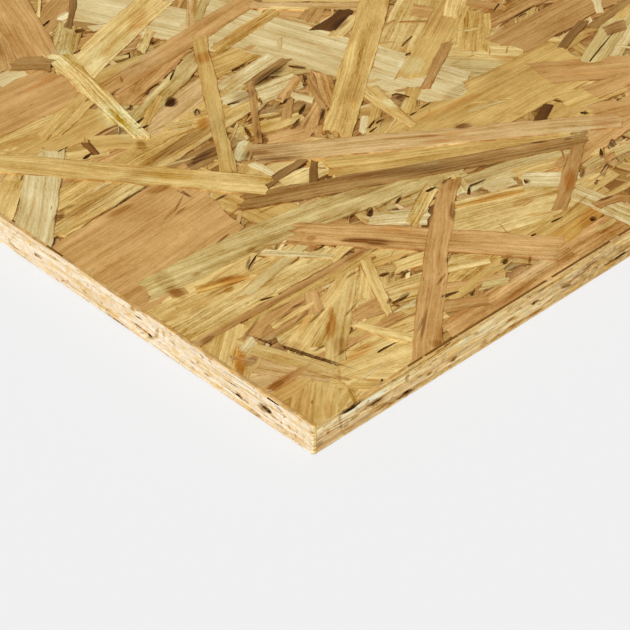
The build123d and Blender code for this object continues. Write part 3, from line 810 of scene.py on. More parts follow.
def scatter_tree(name: str, palette: tuple[Tone, ...], lay: bpy.types.NodeTree) -> bpy.types.NodeTree:
    """Builds the tree that scatters strands over a flat field.

    Args:
        name: The tree's name.
        palette: The tones that the strands take, each as often as the others.
        lay: The group that lays a strand at each point.

    Returns:
        The node tree.
    """
    straightness = 0.7  # above 0, more of the strands lie near the field's own direction
    slimness = 1.7  # above 1, more of them are narrow
    most_bow = 0.02  # the middle's shift to one side, as a share of the length
    thinnest_end = 0.65  # the width of the tail as a share of the width of the head
    marks = 900.0  # the strands' own numbers lie from 0 to this
    tree, given = open_tree(name, {**SCATTER_INPUTS, **LAY_INPUTS})
    hold = given.outputs
    count = add(tree, MATH, hold["Columns"], hold["Rows"], operation="MULTIPLY")
    points = add(tree, "GeometryNodePoints", Count=count, Radius=0.001)
    index = add(tree, "GeometryNodeInputIndex")
    draws = iter(range(100))

    def draw(low: object, high: object) -> bpy.types.NodeSocket:
        """Adds a seeded random number for each point. Every call has a seed of its own.

        Args:
            low: The least that it can be.
            high: The most that it can be.

        Returns:
            The number's socket.
        """
        seed = add(tree, MATH, hold["Seed"], float(next(draws)), operation="ADD")
        made = add(tree, "FunctionNodeRandomValue", data_type="FLOAT", Min=low, Max=high, ID=index, Seed=seed)
        return next(s for s in made.outputs if s.enabled)

    # each point keeps near its own cell of an even field
    column = add(tree, MATH, index, hold["Columns"], operation="MODULO")
    row = add(tree, MATH, add(tree, MATH, index, hold["Columns"], operation="DIVIDE"), operation="FLOOR")
    shares = []
    for cell, cells, play in ((column, hold["Columns"], 1.0), (row, hold["Rows"], hold["Unevenness"])):
        shift = add(tree, MATH, draw(-0.5, 0.5), play, operation="MULTIPLY")
        spot = add(tree, MATH, cell, shift, operation="ADD")
        spot = add(tree, MATH, spot, 0.5, operation="ADD")
        spot = add(tree, MATH, spot, cells, operation="DIVIDE")
        shares.append(add(tree, MATH, spot, 0.5, operation="SUBTRACT"))
    # a share of a column between rows, so that the ends in one row don't line up with the next
    stagger = add(tree, "ShaderNodeTexWhiteNoise", noise_dimensions="1D", W=row)
    stagger = add(tree, MATH, stagger.outputs[0], hold["Columns"], operation="DIVIDE")
    shares[0] = add(tree, MATH, shares[0], stagger, operation="ADD")
    ahead = add(tree, MATH, shares[0], hold["Run"], operation="MULTIPLY")
    aside = add(tree, MATH, shares[1], hold["Breadth"], operation="MULTIPLY")
    over = add(tree, VECTOR, hold["Outward"], hold["Along"], operation="CROSS_PRODUCT")
    middle = add(tree, VECTOR, hold["Along"], ahead, hold["Centre"], operation="MULTIPLY_ADD")
    middle = add(tree, VECTOR, over, aside, middle, operation="MULTIPLY_ADD")

    # most strands lie near the field's own direction, and a few lie far across it
    swing = draw(-1.0, 1.0)
    strength = add(tree, MATH, add(tree, MATH, swing, operation="ABSOLUTE"), straightness, operation="POWER")
    swing = add(tree, MATH, swing, strength, operation="MULTIPLY")
    swing = add(tree, MATH, swing, hold["Turn"], operation="MULTIPLY")
    forward = add(tree, VECTOR, hold["Along"], operation="SCALE",
                  Scale=add(tree, MATH, swing, operation="COSINE"))
    way = add(tree, VECTOR, over, add(tree, MATH, swing, operation="SINE"), forward, operation="MULTIPLY_ADD")
    length = draw(hold["Shortest"], hold["Longest"])
    half = add(tree, VECTOR, way, operation="SCALE", Scale=add(tree, MATH, length, 0.5, operation="MULTIPLY"))
    girth = add(tree, MATH, draw(0.0, 1.0), slimness, operation="POWER")
    girth = add(tree, RANGE, girth, 0.0, 1.0, hold["Narrowest"], hold["Widest"])
    bow = add(tree, MATH, draw(-most_bow, most_bow), length, operation="MULTIPLY")

    ramp = add(tree, "ShaderNodeValToRGB", Fac=draw(0.0, 1.0))
    ramp.color_ramp.interpolation = "LINEAR"
    stops = ramp.color_ramp.elements
    while len(stops) < len(palette):
        stops.new(0.5)
    for place, (stop, tone) in enumerate(zip(stops, palette, strict=True)):
        stop.position = place / (len(palette) - 1)
        stop.color = linear(tone.value)

    # round one spot they sink, to leave room for the strands placed one by one
    away = add(tree, VECTOR, middle, hold["Sunk Spot"], operation="DISTANCE")
    near = add(tree, MATH, away, hold["Sunk Reach"], operation="LESS_THAN")
    depth = add(tree, MATH, near, hold["Sunk By"], draw(hold["Shallow"], hold["Deep"]),
                operation="MULTIPLY_ADD")

    facts = {"head": add(tree, VECTOR, middle, half, operation="SUBTRACT"),
             "tail": add(tree, VECTOR, middle, half, operation="ADD"),
             "girth": girth, "taper": draw(thinnest_end, 1.0), "bow": bow,
             "drop": depth, "mark": draw(0.0, marks), "stain": ramp.outputs[0]}
    told = points
    for label, value in facts.items():
        told = add(tree, STORE, data_type=POINT_FACTS[label], domain="POINT", Geometry=told, Name=label,
                   Value=value)
    close_tree(tree, lay, told, hold)
    return tree


def grow(tree: bpy.types.NodeTree, settings: dict[str, object],
         points: bpy.types.Mesh | None = None) -> bpy.types.Mesh:
    """Runs a geometry tree once and returns what it makes as a plain mesh.

    Args:
        tree: The geometry tree.
        settings: Values for the tree's inputs, by name.
        points: The mesh that the tree starts from, if it needs one.

    Returns:
        The finished mesh, with the attributes that the finishes read.
    """
    bed = in_scene("bed", points or bpy.data.meshes.new("bed"))
    modifier = bed.modifiers.new("grow", "NODES")
    modifier.node_group = tree
    for item in tree.interface.items_tree:
        if item.in_out == "INPUT" and item.name in settings:
            modifier[item.identifier] = settings[item.name]
    graph = bpy.context.evaluated_depsgraph_get()
    mesh = bpy.data.meshes.new_from_object(bed.evaluated_get(graph))
    bed.modifiers.remove(modifier)
    bpy.data.objects.remove(bed)
    for name in ({*POINT_FACTS, "slab"} - {*FINISH_FACTS}):
        if name in mesh.attributes:
            mesh.attributes.remove(mesh.attributes[name])
    return mesh


def piece(name: str, mesh: bpy.types.Mesh) -> bpy.types.Object:
    """Puts a mesh in the scene as a piece that rides on the sheet.

    Args:
        name: The piece's name.
        mesh: Its finished mesh.

    Returns:
        The new object.
    """
    made = in_scene(name, mesh)
    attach(made, "root")
    return made


def packed_body(node: bpy.types.Object) -> bpy.types.Mesh:
    """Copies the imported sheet's mesh and merges it into one closed body.

    Args:
        node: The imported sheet.

    Returns:
        The closed body, with no material of its own.
    """
    shape = bmesh.new()
    shape.from_mesh(node.data)
    bmesh.ops.remove_doubles(shape, verts=shape.verts, dist=HAIR / 10)
    body = bpy.data.meshes.new("sheet body")
    shape.to_mesh(body)
    shape.free()
    for face in body.polygons:
        face.material_index = 0
    if "custom_normal" in body.attributes:
        body.attributes.remove(body.attributes["custom_normal"])
    return body


class Cut(Enum):
    """What a cutting body does to the strands."""

    KEEP_INSIDE = "INTERSECT"
    TAKE_OUT = "DIFFERENCE"


def join(meshes: list[bpy.types.Mesh]) -> bpy.types.Mesh:
    """Collects several meshes with the same material into one.

    Args:
        meshes: The meshes.

    Returns:
        One new mesh of them all.
    """
    shape = bmesh.new()
    for mesh in meshes:
        shape.from_mesh(mesh)
    joined = bpy.data.meshes.new("joined")
    shape.to_mesh(joined)
    shape.free()
    for material in meshes[0].materials:
        joined.materials.append(material)
    return joined


def trim(mesh: bpy.types.Mesh, body: bpy.types.Mesh, cut: Cut) -> bpy.types.Mesh:
    """Cuts closed strands with a closed body. The cut faces take the first material slot.

    Args:
        mesh: The strands.
        body: The body that cuts them.
        cut: Whether the strands stay inside the body or outside it.

    Returns:
        The cut mesh.
    """
    tool, bed = in_scene("tool", body), in_scene("bed", mesh)
    modifier = bed.modifiers.new("trim", "BOOLEAN")
    modifier.operation = cut.value
    modifier.solver = "MANIFOLD"
    modifier.object = tool
    graph = bpy.context.evaluated_depsgraph_get()
    result = bpy.data.meshes.new_from_object(bed.evaluated_get(graph))
    bed.modifiers.remove(modifier)
    bpy.data.objects.remove(bed)
    bpy.data.objects.remove(tool)
    if "custom_normal" in result.attributes:
        result.attributes.remove(result.attributes["custom_normal"])
    return result


@dataclass
class Sheet:
    """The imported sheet: its box, and its outside as one closed body that trims whatever is laid on it."""

    low: Vector
    high: Vector
    body: bpy.types.Mesh
    saw_fuzz: float = 0.09 * MM
    corner_reach: float = 1.2 * MM  # how far the blunting of an upright corner reaches along each side
    pocket_from: float = 0.55 * MM  # a cut face deeper than this behind a side is the wall of a pocket
    face_skin: float = 0.02 * MM  # unless it lies this near to a pressed face
    lid_lean: float = 0.9  # how upright the normal of a plate's upper face is
    arris_lean: float = 0.3  # and of a broken arris

    def roughen(self, mesh: bpy.types.Mesh) -> None:
        """Sets each strand's sawn end back by a hair of its own, so that no two share a plane.

        Args:
            mesh: The trimmed mesh.
        """
        flank = np.empty(len(mesh.loops) * 3, np.float32)
        mesh.attributes["flank"].data.foreach_get("vector", flank)
        mark = flank.reshape(-1, 3)[:, 2]
        corner_of = np.empty(len(mesh.loops), np.int32)
        mesh.loops.foreach_get("vertex_index", corner_of)
        own = np.zeros(len(mesh.vertices), np.float32)
        own[corner_of[mark > 0]] = mark[mark > 0]
        shuffle = 7.31  # spreads the strands' numbers evenly from 0 to 1
        setback = (own * shuffle % 1.0) * self.saw_fuzz
        spots = np.empty(len(mesh.vertices) * 3, np.float32)
        mesh.vertices.foreach_get("co", spots)
        spots = spots.reshape(-1, 3)
        from_side = [np.minimum(spots[:, axis] - self.low[axis], self.high[axis] - spots[:, axis])
                     for axis in (0, 1)]
        blunted = np.maximum(*from_side) < self.corner_reach
        for axis in range(3):
            at_low = spots[:, axis] < self.low[axis] + HAIR
            at_high = spots[:, axis] > self.high[axis] - HAIR
            if axis < 2:
                at_low |= blunted & (spots[:, axis] < 0)
                at_high |= blunted & (spots[:, axis] > 0)
            spots[:, axis] += setback * (at_low.astype(np.float32) - at_high)
        mesh.vertices.foreach_set("co", spots.ravel())

    def dress(self, mesh: bpy.types.Mesh, finishes: dict[str, bpy.types.Material]) -> None:
        """Gives the cut faces of a trimmed mesh their finish: a sawn side, a pocket's wall or an arris.

        The upper faces of the plates and bars of a sawn side show only along the arris, and take its finish.

        Args:
            mesh: The trimmed mesh, whose cut faces have the first material slot.
            finishes: The finishes named short cap, long cap, gap and arris.
        """
        own = mesh.materials[1]
        uncut = [face.material_index == 1 for face in mesh.polygons]
        slots = ("own", "short cap", "long cap", "gap", "arris")
        mesh.materials.clear()
        for material in (own, *(finishes[name] for name in slots[1:])):
            mesh.materials.append(material)
        for face in mesh.polygons:
            middle = face.center
            from_short = min(middle.x - self.low.x, self.high.x - middle.x)
            from_long = min(middle.y - self.low.y, self.high.y - middle.y)
            from_face = min(middle.z - self.low.z, self.high.z - middle.z)
            if uncut[face.index]:
                lid = own.name.startswith("sawn") and abs(face.normal.z) > self.lid_lean
                chosen = "arris" if lid else "own"
            elif min(from_short, from_long) > self.pocket_from and from_face > self.face_skin:
                chosen = "gap"
            elif face.normal.z > self.arris_lean:
                chosen = "arris"
            else:
                chosen = "short cap" if from_short < from_long else "long cap"
            face.material_index = slots.index(chosen)


def soak_in(tree: bpy.types.NodeTree, colour: object, place: object, streaks: object, stains: Stains,
            origin: Vector, view: View) -> object:
    """Adds listed stains to a colour, gathered by tone.

    Args:
        tree: The material's tree.
        colour: The colour that they change.
        place: The object coordinates.
        streaks: What the stains' strength is multiplied by, to break them up.
        stains: The rows of smudges of each tone.
        origin: The point that their middles are measured from.
        view: The side of the sheet that they lie on.

    Returns:
        The stained colour.
    """
    fade = 0.65  # how far from its middle a smudge reaches, as a share of its size
    full_from = 0.6  # how near to the middle it has its full strength, from 0 at the rim to 1
    through = 20.0  # millimetres that it goes into the sheet
    ahead, aside, across = view.value
    for tone in sorted(stains, key=lambda tone: tone.name):
        soak: object = 0.0
        for smudge in (Smudge(*row) for row in stains[tone]):
            cone = add(tree, "ShaderNodeTexGradient", gradient_type="SPHERICAL", Vector=place)
            spot = cone.texture_mapping
            spot.vector_type = "TEXTURE"
            middle, turn, reach = Vector(), [0.0, 0.0, 0.0], [through, through, through]
            middle[ahead], middle[aside] = smudge.ahead, smudge.aside
            turn[across] = math.radians(smudge.turn)
            reach[ahead], reach[aside] = smudge.length * fade, smudge.width * fade
            spot.translation = origin + middle * MM
            spot.rotation = turn
            spot.scale = Vector(reach) * MM
            filled = add(tree, RANGE, cone.outputs["Fac"], 0.0, full_from, 0.0, smudge.strength,
                         interpolation_type="SMOOTHSTEP")
            soak = add(tree, MATH, filled, soak, operation="ADD")
        amount = add(tree, MATH, soak, streaks, operation="MULTIPLY", use_clamp=True)
        tint = [part / whole for part, whole in zip(linear(tone.value), linear(USUAL_WOOD), strict=True)]
        colour = add(tree, MIX, **TINT, Factor=amount, A=colour, B=tint)
    return colour


@dataclass(frozen=True)
class Drawn:
    """A pattern drawn out along a strand: its sizes in millimetres, its detail and how strong it is."""

    along: float
    across: float
    detail: float
    strength: float
    shift: float = 0.0  # keeps two patterns of one strand from looking alike


@dataclass(frozen=True)
class StrandFinish:
    """Softwood knifed into strands, wetted with resin and wax and pressed hot.

    The knife leaves the growth rings as fine lines along each strand, the press leaves a flat satin face
    that is blotched where the resin soaked in, and the flanks get thin broken lines of painted shade.
    """

    name: str
    corner: Vector
    stains: Stains = field(default_factory=dict)
    growth_lines: Drawn = Drawn(38.0, 0.75, 2.0, 1.15)
    bands: Drawn = Drawn(45.0, 3.0, 1.0, 0.8, 7.3)
    blotches: Drawn = Drawn(19.0, 8.0, 3.0, 0.95, 14.6)
    fibres: Drawn = Drawn(3.0, 0.42, 2.0, 0.7, 7.3 * 3)  # ten times as coarse as real ones, too fine to show
    sway: Drawn = Drawn(34.0, 15.0, 1.0, 4.0)  # how the lines waver, with the millimetres to each side
    resin: Drawn = Drawn(24.0, 6.0, 2.0, 0.6, 50.0)
    flecks: Drawn = Drawn(4.5, 0.6, 1.0, 0.7)
    # painted shade along the flanks, where the strands meet
    flank_shade: Drawn = Drawn(7.0, 1.0, 2.0, 0.85)
    # the value of its noise at which each of these begins to show, and at which it is full
    resin_shows: tuple[float, float] = (0.58, 0.76)
    flecks_show: tuple[float, float] = (0.70, 0.80)
    flank_shade_shows: tuple[float, float] = (0.42, 0.62)
    resin_tint: str = "#E6BE80"
    fleck_tint: str = "#9A7048"
    flank_shade_tint: str = "#BC9264"
    # a stain is stronger in the dark growth lines and weaker in the pale ones: from, to, and how much
    streaks: tuple[float, float, float, float] = (0.35, 0.65, 1.3, 0.7)
    press_marks: float = 0.9  # mm between the marks of the press
    clouds: float = 48.0  # broad soft changes of shade to a metre
    cloud_strength: float = 0.5  # also of the press marks
    vigour: tuple[float, float] = (0.7, 1.5)  # the faintest and the strongest pattern of one strand
    calm: tuple[float, float, float, float] = (14.0, 36.0, 1.0, 0.6)  # from and to mm of width, and how calm
    hue_lean: tuple[float, float, float] = (0.72, 1.0, 1.6)  # dark wood is browner, pale wood greyer
    shaded_rim: float = 0.9  # mm that the shade along a flank reaches inwards
    roughness: float = 0.62
    shine: float = 0.12
    refraction: float = 1.45
    relief: float = 0.05  # mm that the growth lines stand proud
    fibre_relief: float = 0.6  # times as much
    blotch_relief: float = 3.0
    # mm below the pressed face from where a painted shade of the recesses begins to where it is full, and its
    # tint
    recess_shades: tuple[tuple[float, float, str], ...] = ((0.75, 1.45, "#D2BC98"), (1.15, 1.7, "#866238"))

    def make(self) -> bpy.types.Material:
        """Builds the node material.

        Returns:
            The material, which reads the strand's own attributes.
        """
        material, tree = open_material(self.name)
        grain, stain, flank = (add(tree, "ShaderNodeAttribute", attribute_name=label)
                               for label in ("grain", "stain", "flank"))
        along, across, mark = add(tree, SEPARATE, grain.outputs["Vector"]).outputs
        place = add(tree, "ShaderNodeTexCoord").outputs["Object"]

        def draw_out(pattern: Drawn, aside: object) -> bpy.types.NodeSocket:
            """Adds a noise drawn out along the strand.

            Args:
                pattern: Its sizes and its detail.
                aside: How far across the strand it is read, in millimetres.

            Returns:
                The noise's socket, from 0 to 1.
            """
            spot = add(tree, COMBINE, add(tree, MATH, along, pattern.along, operation="DIVIDE"),
                       add(tree, MATH, aside, pattern.across, operation="DIVIDE"),
                       add(tree, MATH, mark, pattern.shift, operation="ADD"))
            return add(tree, NOISE, Vector=spot, Scale=1.0, Detail=pattern.detail).outputs[0]

        # the lines waver a little to each side along the strand
        wavered = add(tree, MATH, draw_out(self.sway, across), self.sway.strength, across,
                      operation="MULTIPLY_ADD")

        # patterns drawn out along the strand add up to one shade, dark below 0 and pale above
        patterns = (self.growth_lines, self.bands, self.blotches, self.fibres)
        shade: object = -0.5 * sum(pattern.strength for pattern in patterns)
        heights = []
        for pattern in patterns:
            heights.append(draw_out(pattern, wavered))
            shade = add(tree, MATH, heights[-1], pattern.strength, shade, operation="MULTIPLY_ADD")
        press = add(tree, NOISE, Vector=place, Scale=1.0 / (self.press_marks * MM), Detail=3.0, Roughness=0.6)
        soaked = add(tree, NOISE, Vector=place, Scale=self.clouds, Detail=3.0)
        for noise in (press, soaked):
            shade = add(tree, MATH, noise.outputs[0], self.cloud_strength, shade, operation="MULTIPLY_ADD")
        shade = add(tree, MATH, shade, self.cloud_strength, operation="SUBTRACT")
        share, girth, own = add(tree, SEPARATE, flank.outputs["Vector"]).outputs
        vigour = add(tree, "ShaderNodeTexWhiteNoise", noise_dimensions="1D", W=own)
        vigour = add(tree, RANGE, vigour.outputs[0], 0.0, 1.0, *self.vigour)
        calm = add(tree, RANGE, girth, *self.calm)
        shade = add(tree, MATH, shade, vigour, operation="MULTIPLY")
        shade = add(tree, MATH, shade, calm, operation="MULTIPLY")
        lean = add(tree, VECTOR, shade, self.hue_lean, (1.0, 1.0, 1.0), operation="MULTIPLY_ADD")
        colour = add(tree, VECTOR, stain.outputs["Color"], lean, operation="MULTIPLY")

        # what lies deeper is painted darker, as the shade in the recesses below the top strands
        half = self.corner.z / 2
        height_at = add(tree, SEPARATE, place).outputs["Z"]
        off_middle = add(tree, MATH, height_at, half, operation="SUBTRACT")
        off_middle = add(tree, MATH, off_middle, operation="ABSOLUTE")
        depth = add(tree, MATH, half, off_middle, operation="SUBTRACT")
        for begins, ends, tint in self.recess_shades:
            recess_shade = add(tree, RANGE, depth, begins * MM, ends * MM, 0.0, 1.0)
            colour = add(tree, MIX, **TINT, Factor=recess_shade, A=colour, B=linear(tint))

        # amber patches of resin, and rare dark flecks
        for pattern, shows, tint in ((self.resin, self.resin_shows, self.resin_tint),
                                     (self.flecks, self.flecks_show, self.fleck_tint)):
            amount = add(tree, RANGE, draw_out(pattern, across), *shows, 0.0, pattern.strength,
                         interpolation_type="SMOOTHSTEP")
            colour = add(tree, MIX, **TINT, Factor=amount, A=colour, B=linear(tint))

        # the wood's own lines break up the stains
        lines, _, blotches, fibres = heights
        streaks = add(tree, RANGE, lines, *self.streaks)
        colour = soak_in(tree, colour, place, streaks, self.stains, self.corner, View.FACE)

        # along the flanks, broken lines of painted shade where the strands meet
        inward = add(tree, MATH, 1.0, add(tree, MATH, share, operation="ABSOLUTE"), operation="SUBTRACT")
        inward = add(tree, MATH, inward, girth, operation="MULTIPLY")
        nearness = add(tree, RANGE, inward, 0.0, self.shaded_rim, 1.0, 0.0, interpolation_type="SMOOTHSTEP")
        broken = draw_out(self.flank_shade, add(tree, MATH, share, operation="SIGN"))
        present = add(tree, RANGE, broken, *self.flank_shade_shows, 0.0, self.flank_shade.strength)
        shaded = add(tree, MATH, nearness, present, operation="MULTIPLY")
        colour = add(tree, MIX, **TINT, Factor=shaded, A=colour, B=linear(self.flank_shade_tint))

        # the growth lines, the fibres and, broader, the blotches stand out
        height = add(tree, MATH, fibres, self.fibre_relief, lines, operation="MULTIPLY_ADD")
        height = add(tree, MATH, blotches, self.blotch_relief, height, operation="MULTIPLY_ADD")
        close_material(tree, height, self.relief * MM, Base_Color=colour, Roughness=self.roughness,
                       IOR=self.refraction, Specular_IOR_Level=self.shine)
        return material


@dataclass(frozen=True)
class SawnFinish:
    """Wood that the saw has cut through, bare of resin: paler than the pressed face, and matt.

    Where strands are cut across, their open pores give a fine speckle. Where they are cut along, the
    layers show as thin streaks. Both have small brown tears.
    """

    name: str
    draw_out: tuple[float, float, float]  # mm of the pattern along the length, the width and the height
    tear: tuple[float, float, float]  # mm of the brown tears, the same way
    base: str = ""  # one colour where the strands' own isn't used
    pores: tuple[float, float] = (0.3, 0.7)  # a dark and a pale value of their noise
    contrast: float = 0.14  # how much darker and paler the wood is there
    tears_from: float = 0.64  # the value of its noise at which a tear begins
    tear_rim: float = 0.1  # how much higher it is where the tear is full
    tear_tone: str = "#A67C4C"
    tear_strength: float = 0.75
    yellow: str = "#F8E8C0"
    yellow_size: float = 2.2  # times the pattern's own size
    yellow_shows: tuple[float, float] = (0.45, 0.7)
    # a stain is stronger in the dark pores: from, to, and how much
    frays: tuple[float, float, float, float] = (0.35, 0.65, 1.6, 0.5)
    sways: float = 110.0  # rises and falls of the layers to a metre
    sway_height: float = 3.0  # mm
    roughness: float = 0.8
    shine: float = 0.1
    relief: float = 0.12  # mm
    stains: Stains = field(default_factory=dict)
    corner: Vector | None = None
    view: View = View.SHORT_SIDE

    def make(self) -> bpy.types.Material:
        """Builds the node material.

        Returns:
            The material, drawn in object coordinates.
        """
        material, tree = open_material(self.name)
        place = add(tree, "ShaderNodeTexCoord").outputs["Object"]
        # the layers rise and fall a little along the side
        sway = add(tree, NOISE, Vector=place, Scale=self.sways, Detail=1.0)
        bent = add(tree, VECTOR, sway.outputs[0], (0.0, 0.0, self.sway_height * MM), place,
                   operation="MULTIPLY_ADD")
        noises = []
        for size, factor, detail in ((self.draw_out, 1.0, 4.0), (self.tear, 1.0, 2.0),
                                     (self.draw_out, self.yellow_size, 3.0)):
            drawn = add(tree, VECTOR, bent, tuple(mm * factor * MM for mm in size), operation="DIVIDE")
            noises.append(add(tree, NOISE, Vector=drawn, Scale=1.0, Detail=detail).outputs[0])
        pores, tears, soaked = noises
        if self.base:
            colour: object = linear(self.base)[:3]
        else:
            colour = add(tree, "ShaderNodeAttribute", attribute_name="stain").outputs["Color"]
        shade = add(tree, RANGE, pores, *self.pores, 1.0 - self.contrast, 1.0 + self.contrast, clamp=False)
        colour = add(tree, VECTOR, colour, operation="SCALE", Scale=shade)
        # resin has yellowed some of it
        yellowed = add(tree, RANGE, soaked, *self.yellow_shows, 0.0, 1.0)
        colour = add(tree, MIX, **TINT, Factor=yellowed, A=colour, B=linear(self.yellow))
        torn = add(tree, RANGE, tears, self.tears_from, self.tears_from + self.tear_rim, 0.0,
                   self.tear_strength, interpolation_type="SMOOTHSTEP")
        colour = add(tree, MIX, data_type="RGBA", Factor=torn, A=colour, B=linear(self.tear_tone))
        frayed = add(tree, RANGE, pores, *self.frays)
        colour = soak_in(tree, colour, place, frayed, self.stains, self.corner, self.view)
        height = add(tree, MATH, pores, torn, operation="SUBTRACT")
        close_material(tree, height, self.relief * MM, Base_Color=colour, Roughness=self.roughness,
                       Specular_IOR_Level=self.shine)
        return material


@dataclass(frozen=True)
class CoreFinish:
    """The glued inside of the board, seen only down its gaps: shaded, resin-brown wood."""

    name: str = "shaded inner strands"
    dark: str = "#94683A"
    pale: str = "#CFA268"
    shades: tuple[float, float] = (0.35, 0.7)  # the values of the noise that are dark and pale
    patches: tuple[float, float, float] = (60.0, 260.0, 900.0)  # to a metre, along, across and upwards
    turn: float = 0.5  # radians of the patches from the sheet's length
    roughness: float = 0.8
    shine: float = 0.1
    relief: float = 0.4  # mm

    def make(self) -> bpy.types.Material:
        """Builds the node material.

        Returns:
            The material, drawn in object coordinates.
        """
        material, tree = open_material(self.name)
        place = add(tree, "ShaderNodeTexCoord").outputs["Object"]
        drawn = add(tree, "ShaderNodeMapping", Vector=place, Scale=self.patches,
                    Rotation=(0.0, 0.0, self.turn))
        patches = add(tree, NOISE, Vector=drawn, Scale=1.0, Detail=4.0).outputs[0]
        colour = add(tree, "ShaderNodeValToRGB", Fac=patches)
        for stop, place_on, tone in zip(colour.color_ramp.elements, self.shades, (self.dark, self.pale),
                                        strict=True):
            stop.position = place_on
            stop.color = linear(tone)
        close_material(tree, patches, self.relief * MM, Base_Color=colour, Roughness=self.roughness,
                       Specular_IOR_Level=self.shine)
        return material


@dataclass
class Core:
    """The inside of the board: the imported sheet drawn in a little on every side, with its edge pockets."""

    sheet: Sheet
    face_inset: float = 1.7 * MM
    side_inset: float = 0.45 * MM

    def build(self) -> bpy.types.Object:
        """Copies the sheet's body and draws its outside in.

        Returns:
            The core.
        """
        shape = bmesh.new()
        shape.from_mesh(self.sheet.body)
        inset = Vector((self.side_inset, self.side_inset, self.face_inset))
        inner_low, inner_high = self.sheet.low + inset, self.sheet.high - inset
        for corner in shape.verts:
            corner.co = Vector(min(max(c, a), b) for c, a, b in zip(corner.co, inner_low, inner_high,
                                                                    strict=True))
        bmesh.ops.remove_doubles(shape, verts=shape.verts, dist=HAIR / 10)
        bmesh.ops.dissolve_degenerate(shape, edges=shape.edges, dist=HAIR / 100)
        mesh = bpy.data.meshes.new("core")
        shape.to_mesh(mesh)
        shape.free()
        mesh.materials.clear()
        mesh.materials.append(CoreFinish().make())
        return piece("core", mesh)


@dataclass
class Face:
    """The strands of one pressed face, laid in long strips so that no piece grows too large."""

    sheet: Sheet
    facing: Facing
    seed: int
    strips: int = 4
    columns: int = 62
    rows: int = 20
    shallow: float = 0.25 * MM
    deep: float = 1.2 * MM
    sunk_reach: float = 0.29  # from the photographed corner, under the strands placed one by one

    def level(self) -> float:
        """The height of the pressed face."""
        return self.sheet.high.z if self.facing is Facing.TOP else self.sheet.low.z

    def strip(self, number: int, tree: bpy.types.NodeTree, material: bpy.types.Material) -> bpy.types.Mesh:
        """Scatters the long strands of one strip.

        Args:
            number: The strip, counted from the front.
            tree: The scattering tree.
            material: The strands' finish.

        Returns:
            The strip's mesh, not yet sawn to the sheet's sides.
        """
        low, high = self.sheet.low, self.sheet.high
        breadth = (high.y - low.y) / self.strips
        centre = (0.0, low.y + breadth * (number + 0.5), self.level())
        sunk = self.sunk_reach if self.facing is Facing.TOP else 0.0
        return grow(tree, {"Centre": centre, "Outward": (0.0, 0.0, self.facing.value), "Run": high.x - low.x,
                           "Breadth": breadth, "Columns": self.columns, "Rows": self.rows,
                           "Shortest": 0.055, "Longest": 0.125, "Narrowest": 0.004, "Widest": 0.032,
                           "Turn": 1.25, "Shallow": self.shallow, "Deep": self.deep,
                           "Sunk Spot": (low.x, low.y, self.level()), "Sunk Reach": sunk,
                           "Sunk By": 0.8 * MM, "Seed": self.seed + number, "Slab": 0.6 * MM,
                           "Steps Along": 6, "Steps Across": 2, "Edge Wander": 0.6 * MM,
                           "End Wander": 2.0 * MM, "Slant": 0.9, "Tilt": 0.12 * MM, "Material": material})


